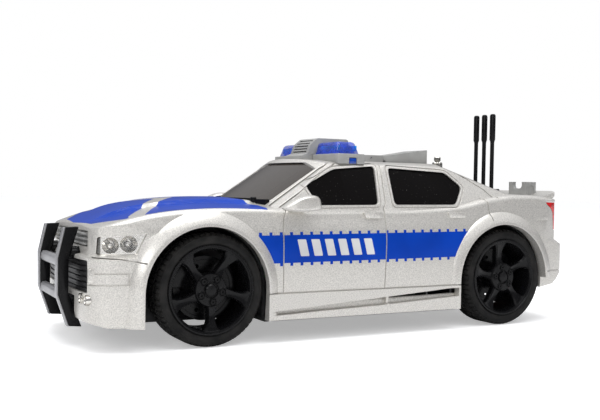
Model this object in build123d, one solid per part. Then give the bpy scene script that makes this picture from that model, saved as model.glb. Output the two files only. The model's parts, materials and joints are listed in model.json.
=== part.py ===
"""Toy patrol car with a friction drive and a light and sound unit, 1:20, in millimetres.

The car is drawn with +X forward, +Y to its left, +Z up, from the ground under the middle of the
wheelbase. Every node is written moved by FRAME_SHIFT, so that the origin of the finished part is
the middle of its overall length and width, on the ground.
"""
import math
import os
from functools import lru_cache

from build123d import *

# ---------------------------------------------------------------- driving dimensions
FRONT_AXLE_X = 75.0
REAR_AXLE_X = -75.0
TYRE_R = 22.85
AXLE_Z = TYRE_R
NOSE_X = 130.5
TAIL_X = -118.6
FRAME_SHIFT = -(NOSE_X + TAIL_X) / 2

WALL = 1.6
SILL_Z = 9.5
BUMPER_TOP_Z = 36.6
CHASSIS_Z = 8.7
CHASSIS_T = 2.0
ARCH_R = 26.0
ARCH_Z = 22.2
ARCH_X = (77.0, -72.9)
FLARE_R = 30.0
FLARE_Y = 46.6

RIM_R = 17.6
WHEEL_IN_Y = 28.0
AXLE_R = 1.5
RUNNING_GAP = 0.05

GEAR_MODULE = 0.6
AXLE_TEETH = 28
PINION_TEETH = 12
IDLER_TEETH = 30
IDLER_BEARING = 15.2
PIN_R = 0.75
FLYWHEEL_R = 11.0
MOTOR_HALF = 11.5
MOTOR_EARS = (-84, -50)
RAIL_TOP = 17.0

SPEAKER_X = -18.0
BATTERY_SCREW_X = 36.0
CELL_R = 5.8
CELL_T = 5.3
BOARD_Z = 24.0

ROOF_Z = 77.4
LIGHT_BAR_HALF = 32.0
BAR_TOP_Z = 79.6
LENS_WALL = 1.1
WIRE_HOLE_X = 4.0
SWITCH_BOARD_Z = 70.2
KNOB_X = -67.0
ANTENNA_X = -97.8
ANTENNA_Y = (-6.5, 0.0, 6.5)
ANTENNA_FOOT_Z = 65.2
SPOILER_HALF = 38.0
GRILLE_HALF = 29.0
INTAKE_HALF = 35.9
HORN_HINGE_X = -22.5
HORN_HINGE_Z = 79.2

SCREW_SPOTS = [(108.5, 19), (44, 34), (-36, 34), (-105, 19)]

# ---- character lines of the body: height or half-width, each against x
TOP_CENTRE = [(-128, 61.5), (-112, 62.6), (-100, 62.8), (-88, 61.5), (-68, 59), (-45, 57.5), (0, 57),
              (40, 58), (57, 59.5), (77, 59), (91, 57.4), (104, 54.7), (118, 48.7), (132, 42)]
TOP_EDGE = [(-128, 57.5), (-112, 60.6), (-96, 62.2), (-84, 62.3), (-66, 60.4), (-49, 57), (-30, 55.5),
            (15, 54.8), (35, 54.6), (52, 55.5), (78, 55.3), (93, 54), (104, 52), (118, 47.7), (132, 42)]
BELT_HALF = [(-128, 36), (-112, 39.6), (-98, 41.4), (-75, 42.6), (-40, 42.4), (0, 42), (45, 42.4),
             (75, 43.2), (95, 42.8), (104, 41.8), (118, 38.5), (132, 34)]
SIDE_HALF = [(-128, 40), (-116, 41), (-98, 43), (-75, 44.8), (-40, 45), (45, 45), (75, 45), (95, 44.6),
             (104, 43.8), (116, 43), (132, 40)]
TUB_STATIONS = [-126, -112, -105, -98, -91, -84, -76, -68, -60, -50, -38, -25, 10, 30, 40, 50, 58, 67, 75,
                83, 90, 97, 104, 111, 118, 130]


def line_at(points, x):
    """Smooth value of a character line at x: cubic Hermite with averaged slopes."""
    slopes = [(b[1] - a[1]) / (b[0] - a[0]) for a, b in zip(points, points[1:])]
    tangents = [slopes[0]]
    for left, right in zip(slopes, slopes[1:]):
        tangents.append(0 if left * right < 0 else (left + right) / 2)
    tangents.append(slopes[-1])
    index = max(i for i in range(len(points) - 1) if i == 0 or points[i][0] <= x)
    (x0, v0), (x1, v1) = points[index], points[index + 1]
    span = x1 - x0
    t = (x - x0) / span
    return (v0 * (1 + 2 * t) * (1 - t) ** 2 + tangents[index] * span * t * (1 - t) ** 2
            + v1 * t * t * (3 - 2 * t) + tangents[index + 1] * span * t * t * (t - 1))


# ---------------------------------------------------------------- small shape helpers
def box(x0, x1, y0, y1, z0, z1):
    return Pos((x0 + x1) / 2, (y0 + y1) / 2, (z0 + z1) / 2) * Box(x1 - x0, y1 - y0, z1 - z0)


def rod_y(x, z, radius, y0, y1):
    return Pos(x, (y0 + y1) / 2, z) * Rot(90, 0, 0) * Cylinder(radius, y1 - y0)


def rod_z(x, y, radius, z0, z1):
    return Pos(x, y, (z0 + z1) / 2) * Cylinder(radius, z1 - z0)


def rod_x(y, z, radius, x0, x1):
    return Pos((x0 + x1) / 2, y, z) * Rot(0, 90, 0) * Cylinder(radius, x1 - x0)


def prism_xz(points, y0, y1):
    """A side-view outline made into a solid from y0 to y1."""
    face = Plane.XZ * make_face(Polyline(*points, close=True))
    return Pos(0, y1, 0) * extrude(face, amount=y1 - y0)


def prism_xy(points, z0, z1):
    face = make_face(Polyline(*points, close=True))
    return Pos(0, 0, z0) * extrude(face, amount=z1 - z0)


def both_sides(solid):
    return solid + mirror(solid, about=Plane.XZ)


def mirrored(solid):
    return mirror(solid, about=Plane.XZ)


def save(node, *solids):
    """One STEP per node; solids that stay apart are kept apart inside it."""
    parts = []
    for item in solids:
        parts.extend((Pos(FRAME_SHIFT, 0, 0) * item).solids())
    shape = parts[0] if len(parts) == 1 else Compound(children=parts)
    shape.label = node
    export_step(shape, f"parts/{node}.step")


# ---------------------------------------------------------------- outer shape of the body
def tub_section(x, inset):
    side = line_at(SIDE_HALF, x) - inset
    belt = line_at(BELT_HALF, x) - inset
    edge = line_at(TOP_EDGE, x) - inset
    top = line_at(TOP_CENTRE, x) - inset
    bottom = SILL_Z if inset == 0 else SILL_Z - 3
    right = [Vector(x, side - 1.0, bottom), Vector(x, side, 22), Vector(x, side - 0.1, 34),
             Vector(x, side * 0.5 + belt * 0.5 + 0.4, 46), Vector(x, belt, edge - 2.6)]
    shoulder_end = Vector(x, belt - 3.0, edge)
    shoulder_mid = Vector(x, belt - 0.8, edge - 0.8)
    quarter = Vector(x, belt * 0.5, edge + (top - edge) * 0.72)
    middle = Vector(x, 0, top)

    def flip(point):
        return Vector(point.X, -point.Y, point.Z)

    edges = [
        Edge.make_line(flip(right[0]), right[0]),
        Edge.make_spline(right),
        Edge.make_three_point_arc(right[-1], shoulder_mid, shoulder_end),
        Edge.make_spline([shoulder_end, quarter, middle, flip(quarter), flip(shoulder_end)]),
        Edge.make_three_point_arc(flip(shoulder_end), flip(shoulder_mid), flip(right[-1])),
        Edge.make_spline([flip(point) for point in reversed(right)]),
    ]
    return Wire(edges)


UPPER_NOSE = [(90, 46), (101, 43), (112, 39.5), (118.4, 36.3), (120.6, 31), (121.8, 20), (122.3, 0)]
LOWER_NOSE = [(96, 47), (107, 43.6), (115.5, 42.8), (119.5, 40.5), (122.4, 36.5), (124, 26), (125, 0)]
UPPER_TAIL = [(-114.6, 0), (-114.4, 26), (-113.6, 34), (-111.6, 38.5), (-102, 42.4), (-86, 46)]
LOWER_TAIL = [(-118.6, 0), (-118.2, 26), (-117, 35), (-114.5, 40), (-108, 42.6), (-92, 46)]


def plan_region(nose, tail, inset):
    points = [(70, 52)] + nose + [(x, -y) for x, y in reversed(nose) if y > 0] + [(70, -52), (-70, -52)]
    points += [(x, -y) for x, y in reversed(tail) if y > 0] + tail + [(-70, 52)]
    face = make_face(Polyline(*points, close=True))
    return offset(face, amount=-inset, kind=Kind.INTERSECTION) if inset else face


SIDE_OUTLINE = [
    (102, SILL_Z), (115.7, 9.9), (123.6, 12), (124.8, 18), (125, 31), (123.4, BUMPER_TOP_Z),
    (121.4, 37), (122, 43), (119.6, 48.6), (116, 70), (-108, 70), (-114.6, 64), (-113.2, 60.6),
    (-114.7, 45), (-114.9, 39.4), (-118.6, 38.9), (-118.6, 27), (-115.4, 24.5), (-108, 18.4),
    (-99.6, 17.2), (-99, SILL_Z),
]


def side_region(inset):
    face = make_face(Polyline(*SIDE_OUTLINE, close=True))
    if inset:
        face = offset(face, amount=-inset, kind=Kind.INTERSECTION)
    return face


@lru_cache(maxsize=None)
def tub(inset=0.0):
    sections = [tub_section(x, inset) for x in TUB_STATIONS]
    body = Solid.make_loft(sections, ruled=True)
    ledge = BUMPER_TOP_Z - inset
    upper = Pos(0, 0, ledge) * extrude(plan_region(UPPER_NOSE, UPPER_TAIL, inset), amount=40)
    lower = extrude(plan_region(LOWER_NOSE, LOWER_TAIL, inset), amount=ledge)
    profile = Pos(0, 60, 0) * extrude(Plane.XZ * side_region(inset), amount=120)
    if inset:
        profile = profile + box(-98, 114, -60, 60, -5, 20) + box(-108, -98, -60, 60, 10, 30)
    return body & (upper + lower) & profile


CABIN_HALF = [(42.5, 50), (40.4, 57.2), (32.6, 73.0), (30.6, 75.0), (26, 75.9), (14, 77.0), (0, ROOF_Z)]
CABIN_TAIL_HALF = [(42.5, 50), (38.0, 57.2), (33, 62), (24, 71.0), (21, 73), (12, 75.4), (0, 76.4)]
SCREEN_LEAN = (27.0, 17.7)
BACKLIGHT_LEAN = (33.0, 9.9)


def cabin_section(x, half, inset):
    points = half + [(-y, z) for y, z in reversed(half[:-1])]
    face = make_face(Polyline(*points, close=True))
    if inset:
        face = offset(face, amount=-inset, kind=Kind.INTERSECTION)
    wire = face.faces()[0].outer_wire()
    return Plane(origin=(x, 0, 0), x_dir=(0, 1, 0), z_dir=(1, 0, 0)) * wire


@lru_cache(maxsize=None)
def cabin(inset=0.0):
    ends = [(-112, CABIN_TAIL_HALF), (-48, CABIN_HALF), (70, CABIN_HALF)]
    hull = Solid.make_loft([cabin_section(x, half, inset).wires()[0] for x, half in ends], ruled=True)
    screen_shift = inset * math.hypot(*SCREEN_LEAN) / SCREEN_LEAN[1]
    light_shift = inset * math.hypot(*BACKLIGHT_LEAN) / BACKLIGHT_LEAN[1]
    base_z = 50.0
    foot = 55.8 - base_z
    front_x = 46.7 + foot * SCREEN_LEAN[0] / SCREEN_LEAN[1] - screen_shift
    front = make_face(ThreePointArc((front_x, 31), (front_x + 9, 0), (front_x, -31))
                      + Polyline((front_x, -31), (front_x - 14, -60), (-200, -60), (-200, 60),
                                 (front_x - 14, 60), (front_x, 31)))
    front = Pos(0, 0, base_z) * extrude(front, amount=60, dir=(-SCREEN_LEAN[0], 0, SCREEN_LEAN[1]))
    foot = 63.7 - base_z
    rear_x = -93.4 - foot * BACKLIGHT_LEAN[0] / BACKLIGHT_LEAN[1] + light_shift
    rear = make_face(ThreePointArc((rear_x, 20), (rear_x - 5.5, 0), (rear_x, -20))
                     + Polyline((rear_x, -20), (rear_x + 14, -34), (rear_x + 30, -60), (300, -60),
                                (300, 60), (rear_x + 30, 60), (rear_x + 14, 34), (rear_x, 20)))
    rear = Pos(0, 0, base_z) * extrude(rear, amount=110, dir=(BACKLIGHT_LEAN[0], 0, BACKLIGHT_LEAN[1]))
    return hull & front & rear


SIDE_WINDOWS = [
    [(28.6, 64.6), (14.5, 71.4), (-6.4, 73.2), (-4.2, 57.9), (29.5, 57.6)],
    [(-15.4, 72.6), (-14.4, 58.0), (-47.8, 58.2), (-53.3, 65.2), (-46.1, 71.2)],
]
SCREEN_OPENING = [(50, 31), (62, 15), (62, -15), (50, -31), (24.5, -27), (24.5, 27)]
BACKLIGHT_OPENING = [(-66, 21), (-66, -21), (-86, -26), (-90, -15), (-90, 15), (-86, 26)]
HEADLIGHT = [(118.6, 43.9), (101.6, 45.4), (105.4, 37.6), (118.8, 37.4)]
TAIL_LAMP = [(-103.0, 58.6), (-116, 58.6), (-116, 45.0), (-110.2, 45.0), (-109.2, 54.5)]


def window_cutter():
    cutter = prism_xy(SCREEN_OPENING, 58.8, 76.6) + prism_xy(BACKLIGHT_OPENING, 64.6, 76)
    for outline in SIDE_WINDOWS:
        cutter = cutter + prism_xz(outline, 25, 60) + prism_xz(outline, -60, -25)
    return cutter


def lamp_zone(outline, y_min, grow=0.0):
    face = make_face(Polyline(*outline, close=True))
    if grow:
        face = offset(face, amount=grow, kind=Kind.INTERSECTION)
    solid = Pos(0, 60, 0) * extrude(Plane.XZ * face, amount=60 - y_min)
    return both_sides(solid)


def arch_opening(x):
    """One wheel opening: a half circle over straight sides."""
    return rod_y(x, ARCH_Z, ARCH_R, 24, 60) + box(x - ARCH_R, x + ARCH_R, 24, 60, 0, ARCH_Z)


def flares(x):
    """Flared lips round a pair of wheel arches; the rear one stops above the end of the bumper."""
    profile = [(ARCH_R, 43.2), (ARCH_R, FLARE_Y), (ARCH_R + 1.2, FLARE_Y), (FLARE_R, 45.0), (FLARE_R, 43.2)]
    ring = Pos(x, 0, ARCH_Z) * revolve(make_face(Polyline(*profile, close=True)), axis=Axis.Y)
    lip = ring & box(x - 40, x + 40, 40, 60, ARCH_Z, 60)
    leg = make_face(Polyline(*profile, close=True))
    front_leg = Pos(x, 0, SILL_Z) * extrude(leg, amount=ARCH_Z - SILL_Z)
    rear_leg = Pos(2 * x, 0, 0) * mirror(front_leg, about=Plane.YZ)
    lip = lip + (rear_leg if x > 0 else front_leg)
    if x > 0:
        lip = lip + front_leg
    return both_sides(lip)


def spoiler():
    lip = prism_xz([(-103, 61.2), (-113.6, 64.6), (-113.0, 62.6), (-110, 60.6)], -SPOILER_HALF, SPOILER_HALF)
    return lip & extrude(plan_region(UPPER_NOSE, UPPER_TAIL, 0), amount=80)


# ---------------------------------------------------------------- body shell and what is fixed to it
HORN_PLAN = [(-30.2, 4.2), (-36, 5.2), (-44, 7.6), (-53, 10)]
HORN_SLOT = [(-31.5, 5.2), (-36, 5.8), (-44, 8.2), (-53.6, 10.6)]
FOG_SPOTS = [(31, 20.5, 123.8), (36, 20.2, 122.9)]
GUARD_IN_Y = 16.1
GUARD_OUT_Y = 19.1
GUARD_FRONT = [(127.8, 47.0), (NOSE_X, 35.0), (130.4, 20.4), (126.1, 7.9)]
GUARD_REAR = [(121.8, 47.2), (125.6, 34.5), (125.6, 21.1), (120.3, 7.5)]
GUARD_SKIN = 0.8
POST_HEIGHTS = [(37.0, 2.6, 116), (18.0, 2.7, 113.8)]
POST_Y = (GUARD_IN_Y + GUARD_OUT_Y) / 2
FLOOR_TOP = CHASSIS_Z + CHASSIS_T
FLOOR_HALF = 42.0
LINER_Y = 39.6
REAR_PAD = (16.6, 18.6)


def plan_pair(half):
    return half + [(x, -y) for x, y in reversed(half)]


def screw_post(x, y):
    bottom = REAR_PAD[1] if x < -90 else FLOOR_TOP
    post = rod_z(x, y, 3.0, bottom, 70)
    if abs(x) < 60:
        post = (rod_z(x, y, 3.0, bottom, 46) + box(x - 0.6, x + 0.6, y, y + 9, bottom, 46))
    return post


def post_pilots(x, y):
    bottom = REAR_PAD[1] if x < -90 else FLOOR_TOP
    return rod_z(x, y, 1.05, bottom - 1, bottom + 8)


def body_shell(outer):
    inner = tub(WALL) + cabin(WALL)
    for x, y in SCREW_SPOTS:
        inner = inner - both_sides(screw_post(x, y))
    shell = outer - inner
    for x, y in SCREW_SPOTS:
        shell = shell - both_sides(post_pilots(x, y))
    for x in ARCH_X:
        shell = shell - both_sides(arch_opening(x))
    shell = shell - window_cutter()
    shell = shell - lamp_zone(HEADLIGHT, 27.5) - lamp_zone(TAIL_LAMP, 24)
    for y, z, x in FOG_SPOTS:
        shell = shell - both_sides(rod_x(y, z, 2.05, x - 6, x + 3))
    for z, radius, x in POST_HEIGHTS:
        shell = shell - both_sides(rod_x(POST_Y, z, radius + 0.05, x - 1, 128))
    shell = shell - box(119, 130, -22.5, 22.5, 5, 20.6)
    shell = shell - box(118, 130, -GRILLE_HALF - 0.1, GRILLE_HALF + 0.1, 39.9, 46.0)
    shell = shell - intake_zone(0.1)
    shell = shell - prism_xy(plan_pair(HORN_SLOT), 70, 80)
    shell = shell - rod_z(WIRE_HOLE_X, 0, 3, 70, 80)
    shell = shell - box(ANTENNA_X - 3.3, ANTENNA_X + 3.3, -9.6, 9.6, 58, 70)
    return shell.solids().sort_by(SortBy.VOLUME)[-1]


def window_insert():
    glazing = cabin(WALL + 0.1) - cabin(WALL + 1.3)
    glazing = glazing & box(-93, 80, -60, 60, 56.4, 80)
    glazing = glazing - box(-61, 14, -24, 24, 60, 80)
    return glazing.solids().sort_by(SortBy.VOLUME)[-1]


def headlight_parts(outer):
    zone = lamp_zone(HEADLIGHT, 27.55, -0.05)
    lens = (outer & zone) - tub(1.3)
    seat = lamp_zone(HEADLIGHT, 33, 1.0) & tub(WALL + 0.1)
    for x, z in [(106.5, 41.2), (113, 40.9)]:
        seat = seat - both_sides(Pos(x, 42, z) * Sphere(3.6))
    return lens.solids(), seat.solids()


def tail_lamps(outer):
    zone = lamp_zone(TAIL_LAMP, 24.05, -0.05)
    return ((outer & zone) - tub(1.3)).solids()


def intake_zone(gap):
    return box(118, 130, -INTAKE_HALF - gap, INTAKE_HALF + gap, 22.9 - gap, 35.1 + gap)


def grille():
    """Slatted frame in the nose, and the ribbed panel that closes the bumper's air intake."""
    frame = box(118.6, 120.2, -GRILLE_HALF, GRILLE_HALF, 40.0, 45.9)
    for z in (40.6, 42.5, 44.4):
        frame = frame + box(120.2, 121.2, -GRILLE_HALF + 3, GRILLE_HALF - 3, z, z + 0.9)
    panel = (tub(0.8) & intake_zone(0)) - tub(WALL + 0.4)
    for z, radius, x in POST_HEIGHTS:
        panel = panel - both_sides(rod_x(POST_Y, z, radius, x, 128))
    return [frame, panel]


def door_mirror(outer):
    head = box(29, 46, 44, 50, 54.4, 61)
    head = fillet(head.edges().filter_by(Axis.Z), 2.4)
    stalk = box(33, 39.5, 40, 45, 54.6, 57.6)
    return (head + stalk) - outer


def guard_upright():
    outline = [(x - GUARD_SKIN, z) for x, z in GUARD_FRONT] + GUARD_REAR[::-1]
    return prism_xz(outline, GUARD_IN_Y, GUARD_OUT_Y)


def guard_front():
    outline = GUARD_FRONT + [(x - GUARD_SKIN, z) for x, z in reversed(GUARD_FRONT)]
    return prism_xz(outline, GUARD_IN_Y, GUARD_OUT_Y)


def guard_rails():
    return [box(127.2, 129.6, -GUARD_IN_Y, GUARD_IN_Y, z, z + 4.2) for z in (31.3, 18.1)]


def guard_posts():
    upright = guard_upright()
    posts = []
    for z, radius, x in POST_HEIGHTS:
        post = rod_x(POST_Y, z, radius, x, 128)
        for ring_x in (121.6, 123.2):
            post = post - (rod_x(POST_Y, z, radius + 1, ring_x, ring_x + 0.6)
                           - rod_x(POST_Y, z, radius - 0.4, ring_x, ring_x + 0.6))
        cut = prism_xz([(x0, z0) for x0, z0 in GUARD_REAR] + [(140, 7.5), (140, 47.2)], 0, 40)
        post = post - cut
        posts += [post, mirrored(post)]
    return posts


# ---------------------------------------------------------------- light bar, siren key, roof and boot fittings
def light_bar_base(outer):
    half = LIGHT_BAR_HALF
    base = box(-3, 11.5, -half, half, 73, BAR_TOP_Z)
    base = chamfer(base.edges().filter_by(Axis.Z), 1.2)
    base = base - rod_z(WIRE_HOLE_X, 0, 3, 70, 81)
    for y in (half, -half):
        base = base - box(1.5, 5.5, y - 1.2, y + 1.2, 70, 77.9)
    return base - outer


def lens_block(inset):
    low = Rectangle(12.5 - 2 * inset, 19.7 - 2 * inset)
    high = Rectangle(9.3 - 2 * inset, 18.0 - 2 * inset)
    z0 = BAR_TOP_Z - (0.1 if inset else 0)
    block = loft([Pos(4.25, 18.65, z0) * low, Pos(4.25, 17.8, 85.2 - inset) * high])
    return block


def board_slot():
    """Room for the lamp board where it passes through the lens ends and the siren cover."""
    return box(0.4, 8.1, -26.1, 26.1, BAR_TOP_Z - 0.1, 80.8)


def light_bar_lens():
    return lens_block(0) - lens_block(LENS_WALL) - board_slot()


def siren_cover():
    outline = [(-9, 79.6), (-7.6, 87.0), (-6.8, 87.4), (9, 87.4), (12.6, 84.4), (14.4, 79.6)]
    inner = [(-7.8, 79.5), (-6.6, 86.2), (8.6, 86.2), (11.5, 83.8), (13.1, 79.5)]
    cover = prism_xz(outline, -8.7, 8.7) - prism_xz(inner, -7.6, 7.6) - board_slot()
    nose = prism_xz([(11.5, 77.2), (18.2, 76.6), (17.4, 79.0), (14.4, 79.6), (11.5, 79.6)], -8.7, 8.7)
    for index in range(5):
        y = -6.8 + 3.4 * index
        cover = cover - box(-6, 8, y - 0.5, y + 0.5, 86.9, 88)
    return cover + nose


def light_bar_board():
    return box(0.5, 8, -26, 26, 79.7, 80.7) - rod_z(WIRE_HOLE_X, 0, 2, 79, 82)


def light_bar_leds():
    leds = []
    for y in (-22, -14, 14, 22):
        led = rod_z(4.2, y, 1.5, 80.7, 82.2) + Pos(4.2, y, 82.2) * Sphere(1.5)
        leds.append(led)
    return leds


def horn_bracket(outer):
    block = box(-29.5, -18.4, -6, 6, 75, 80.6) - box(-29.6, -20.0, -4.1, 4.1, 77.9, 82)
    block = block - rod_y(HORN_HINGE_X, HORN_HINGE_Z, 0.6, -7, 7)
    return block - outer


def horn_pin():
    return rod_y(HORN_HINGE_X, HORN_HINGE_Z, 0.6, -6, 6)


def horn_key():
    profile = [(-30.2, 78.2), (-30.2, 80.4), (-53, 83.9), (-53, 76.0), (-32.0, 76.0), (-32.0, 78.2)]
    horn = prism_xz(profile, -12, 12) & prism_xy(plan_pair(HORN_PLAN), 70, 90)
    for index in range(4):
        x = -50.6 + 2.4 * index
        horn = horn - box(x - 0.35, x + 0.35, -9, 9, 83.2 - 0.36 * index, 86)
    tongue = box(-30.4, -22.5, -3.8, 3.8, 78.2, 80.2) + rod_y(HORN_HINGE_X, HORN_HINGE_Z, 1.0, -3.8, 3.8)
    return horn + tongue - rod_y(HORN_HINGE_X, HORN_HINGE_Z, 0.65, -5, 5)


def horn_switch(outer):
    """Dome switch under the key, on a board that hangs from two posts under the roof."""
    board = box(-58.5, -40, -8, 8, SWITCH_BOARD_Z, SWITCH_BOARD_Z + 1.2)
    switch = box(-47.5, -42.5, -3, 3, SWITCH_BOARD_Z + 1.2, 73.4) + rod_z(-45, 0, 1.5, 73.4, 74.4)
    post = rod_z(-56.5, 6, 1.2, SWITCH_BOARD_Z + 1.2, 78) & cabin(WALL)
    return [board, switch, post, mirrored(post)]


def roof_knob(outer):
    knob = rod_z(KNOB_X, 0, 2.75, 74, 78.4) + rod_z(KNOB_X, 0, 1.75, 78.4, 81.2)
    return knob - outer


def antenna_base():
    return box(ANTENNA_X - 3.2, ANTENNA_X + 3.2, -9.5, 9.5, 60.6, ANTENNA_FOOT_Z)


def antenna(y):
    whip = rod_z(ANTENNA_X, y, 1.05, ANTENNA_FOOT_Z, 92)
    sleeve = rod_z(ANTENNA_X, y, 1.5, 90, 103.2) + Pos(ANTENNA_X, y, 103.2) * Sphere(1.5)
    return whip + sleeve


def boot_bracket(outer):
    block = box(-110.2, -103.6, 13.5, 26.5, 58, 69)
    notch = prism_xy([(-106, 16.5), (-103, 16.5), (-103, 23.5), (-106, 23.5)], 64.5, 70)
    return block - notch - outer


# ---------------------------------------------------------------- wheels and axles
def tyre(x):
    profile = [(17.6, 28.4), (21.6, 28.0), (TYRE_R, 29.6), (TYRE_R, 42.2), (22.0, 43.5), (19.6, 44.0),
               (18.15, 43.3), (18.15, 42.9), (RIM_R, 42.9)]
    ring = revolve(make_face(Polyline(*profile, close=True)), axis=Axis.Y)
    for y in (32.5, 36.0, 39.5):
        groove = Polyline((TYRE_R + 1, y - 0.6), (TYRE_R - 0.8, y - 0.4), (TYRE_R - 0.8, y + 0.4),
                          (TYRE_R + 1, y + 0.6), close=True)
        ring = ring - revolve(make_face(groove), axis=Axis.Y)
    return Pos(x, 0, AXLE_Z) * ring


def rim(x):
    barrel = [(16.2, WHEEL_IN_Y), (RIM_R, WHEEL_IN_Y), (RIM_R, 42.9), (18.1, 42.9), (18.1, 43.9),
              (17.0, 43.9), (16.2, 42.4)]
    wheel = revolve(make_face(Polyline(*barrel, close=True)), axis=Axis.Y)
    spoke = [(3, 2.7), (7, 2.0), (11, 2.3), (14.5, 3.6), (16.4, 5.5), (16.4, -5.5), (14.5, -3.6),
             (11, -2.3), (7, -2.0), (3, -2.7)]
    blade = Pos(0, 42.6, 0) * extrude(Plane.XZ * make_face(Polyline(*spoke, close=True)), amount=3.6)
    for index in range(5):
        wheel = wheel + Rot(0, 72 * index + 90, 0) * blade
        lug = Rot(0, 72 * index + 54, 0) * Pos(4.4, 43.0, 0) * Rot(90, 0, 0) * extrude(
            RegularPolygon(1.0, 6), amount=0.8, both=True)
        wheel = wheel + lug
    wheel = wheel + rod_y(0, 0, 6.2, 37.5, 42.8) + rod_y(0, 0, 3.0, WHEEL_IN_Y, 38) + rod_y(0, 0, 1.9, 42, 43.8)
    wheel = wheel - rod_y(0, 0, AXLE_R, 20, 41)
    return Pos(x, 0, AXLE_Z) * wheel


def brake_disc(x):
    disc = rod_y(0, 0, 13.2, 33.4, 34.4) + rod_y(0, 0, 6.0, 32.4, 35.6)
    caliper = rod_y(0, 0, 15.0, 32.6, 36.0) - rod_y(0, 0, 9.0, 32, 37)
    caliper = caliper & (Rot(0, 25, 0) * box(6, 20, 30, 40, -5.5, 5.5))
    disc = disc + caliper - rod_y(0, 0, 3.0, 20, 40)
    return Pos(x, 0, AXLE_Z) * disc


def axle(x):
    return rod_y(x, AXLE_Z, AXLE_R, -41, 41)


# ---------------------------------------------------------------- friction motor
def involute(angle):
    return math.tan(angle) - angle


def gear_disc(teeth, y0, y1, bore, tooth_at):
    """Spur gear between y0 and y1, with a tooth centred on the angle tooth_at in the side view."""
    pressure = math.radians(20)
    pitch_r = GEAR_MODULE * teeth / 2
    base_r = pitch_r * math.cos(pressure)
    tip_r = pitch_r + 0.8 * GEAR_MODULE
    root_r = pitch_r - 1.15 * GEAR_MODULE
    backlash = 0.1
    half_pitch = (math.pi * GEAR_MODULE / 2 - backlash) / (2 * pitch_r)
    flank = []
    start_r = max(base_r, root_r)
    for step in range(4):
        radius = start_r + (tip_r - start_r) * step / 3
        turn = involute(math.acos(min(1, base_r / radius)))
        flank.append((radius, half_pitch + involute(pressure) - turn))
    if root_r < base_r:
        flank.insert(0, (root_r, flank[0][1]))
    points = []
    for tooth in range(teeth):
        centre = tooth_at + 2 * math.pi * tooth / teeth
        for radius, offset_angle in flank:
            points.append((radius * math.cos(centre - offset_angle), radius * math.sin(centre - offset_angle)))
        for radius, offset_angle in reversed(flank):
            points.append((radius * math.cos(centre + offset_angle), radius * math.sin(centre + offset_angle)))
    return prism_xz(points, y0, y1) - rod_y(0, 0, bore, y0 - 1, y1 + 1)


def motor_centres():
    drive = GEAR_MODULE * (AXLE_TEETH + PINION_TEETH) / 2
    wheel = GEAR_MODULE * (IDLER_TEETH + PINION_TEETH) / 2
    bearing = math.radians(IDLER_BEARING)
    idler = (REAR_AXLE_X + drive * math.cos(bearing), AXLE_Z + drive * math.sin(bearing))
    return idler, (idler[0] + wheel, idler[1])


def axle_gear():
    gear = gear_disc(AXLE_TEETH, 4.0, 7.0, AXLE_R, math.radians(IDLER_BEARING))
    gear = gear + (rod_y(0, 0, 3.2, 7.0, 9.6) - rod_y(0, 0, AXLE_R, 6, 10))
    return Pos(REAR_AXLE_X, 0, AXLE_Z) * gear


def idler_gear(centre):
    towards_axle = math.radians(IDLER_BEARING) + math.pi
    pinion = gear_disc(PINION_TEETH, 2.8, 7.4, 0.8, towards_axle + math.pi / PINION_TEETH)
    wheel = gear_disc(IDLER_TEETH, 0.4, 2.8, 0.8, 0)
    hub = rod_y(0, 0, 1.3, -9.8, 9.8) - rod_y(0, 0, 0.8, -10, 10)
    return Pos(centre[0], 0, centre[1]) * (pinion + wheel + hub)


def flywheel_shaft(centre):
    pinion = gear_disc(PINION_TEETH, 0.0, 3.2, 0.5, math.pi + math.pi / PINION_TEETH)
    return Pos(centre[0], 0, centre[1]) * (pinion + rod_y(0, 0, 0.8, -11, 11))


def flywheel(centre):
    disc = rod_y(0, 0, FLYWHEEL_R, -8.0, -1.0) - rod_y(0, 0, 8.4, -8.1, -6.6) + rod_y(0, 0, 2.6, -8.6, -6)
    return Pos(centre[0], 0, centre[1]) * (disc - rod_y(0, 0, 0.8, -12, 12))


def motor_half(idler, fly):
    case = box(-87, -37.5, 0, MOTOR_HALF, 12.4, 39) - box(-85.6, -38.9, -1, 10, 13.6, 37.8)
    for x in MOTOR_EARS:
        case = case + box(x - 3, x + 3, MOTOR_HALF, 17, RAIL_TOP, RAIL_TOP + 1.4)
        case = case - rod_z(x, 15.0, 1.0, 10, 22)
    case = case - rod_y(REAR_AXLE_X, AXLE_Z, AXLE_R + RUNNING_GAP, -1, 20)
    case = case - rod_y(idler[0], idler[1], PIN_R, -1, 20)
    return case - rod_y(fly[0], fly[1], 0.8 + RUNNING_GAP, -1, 20)


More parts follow.
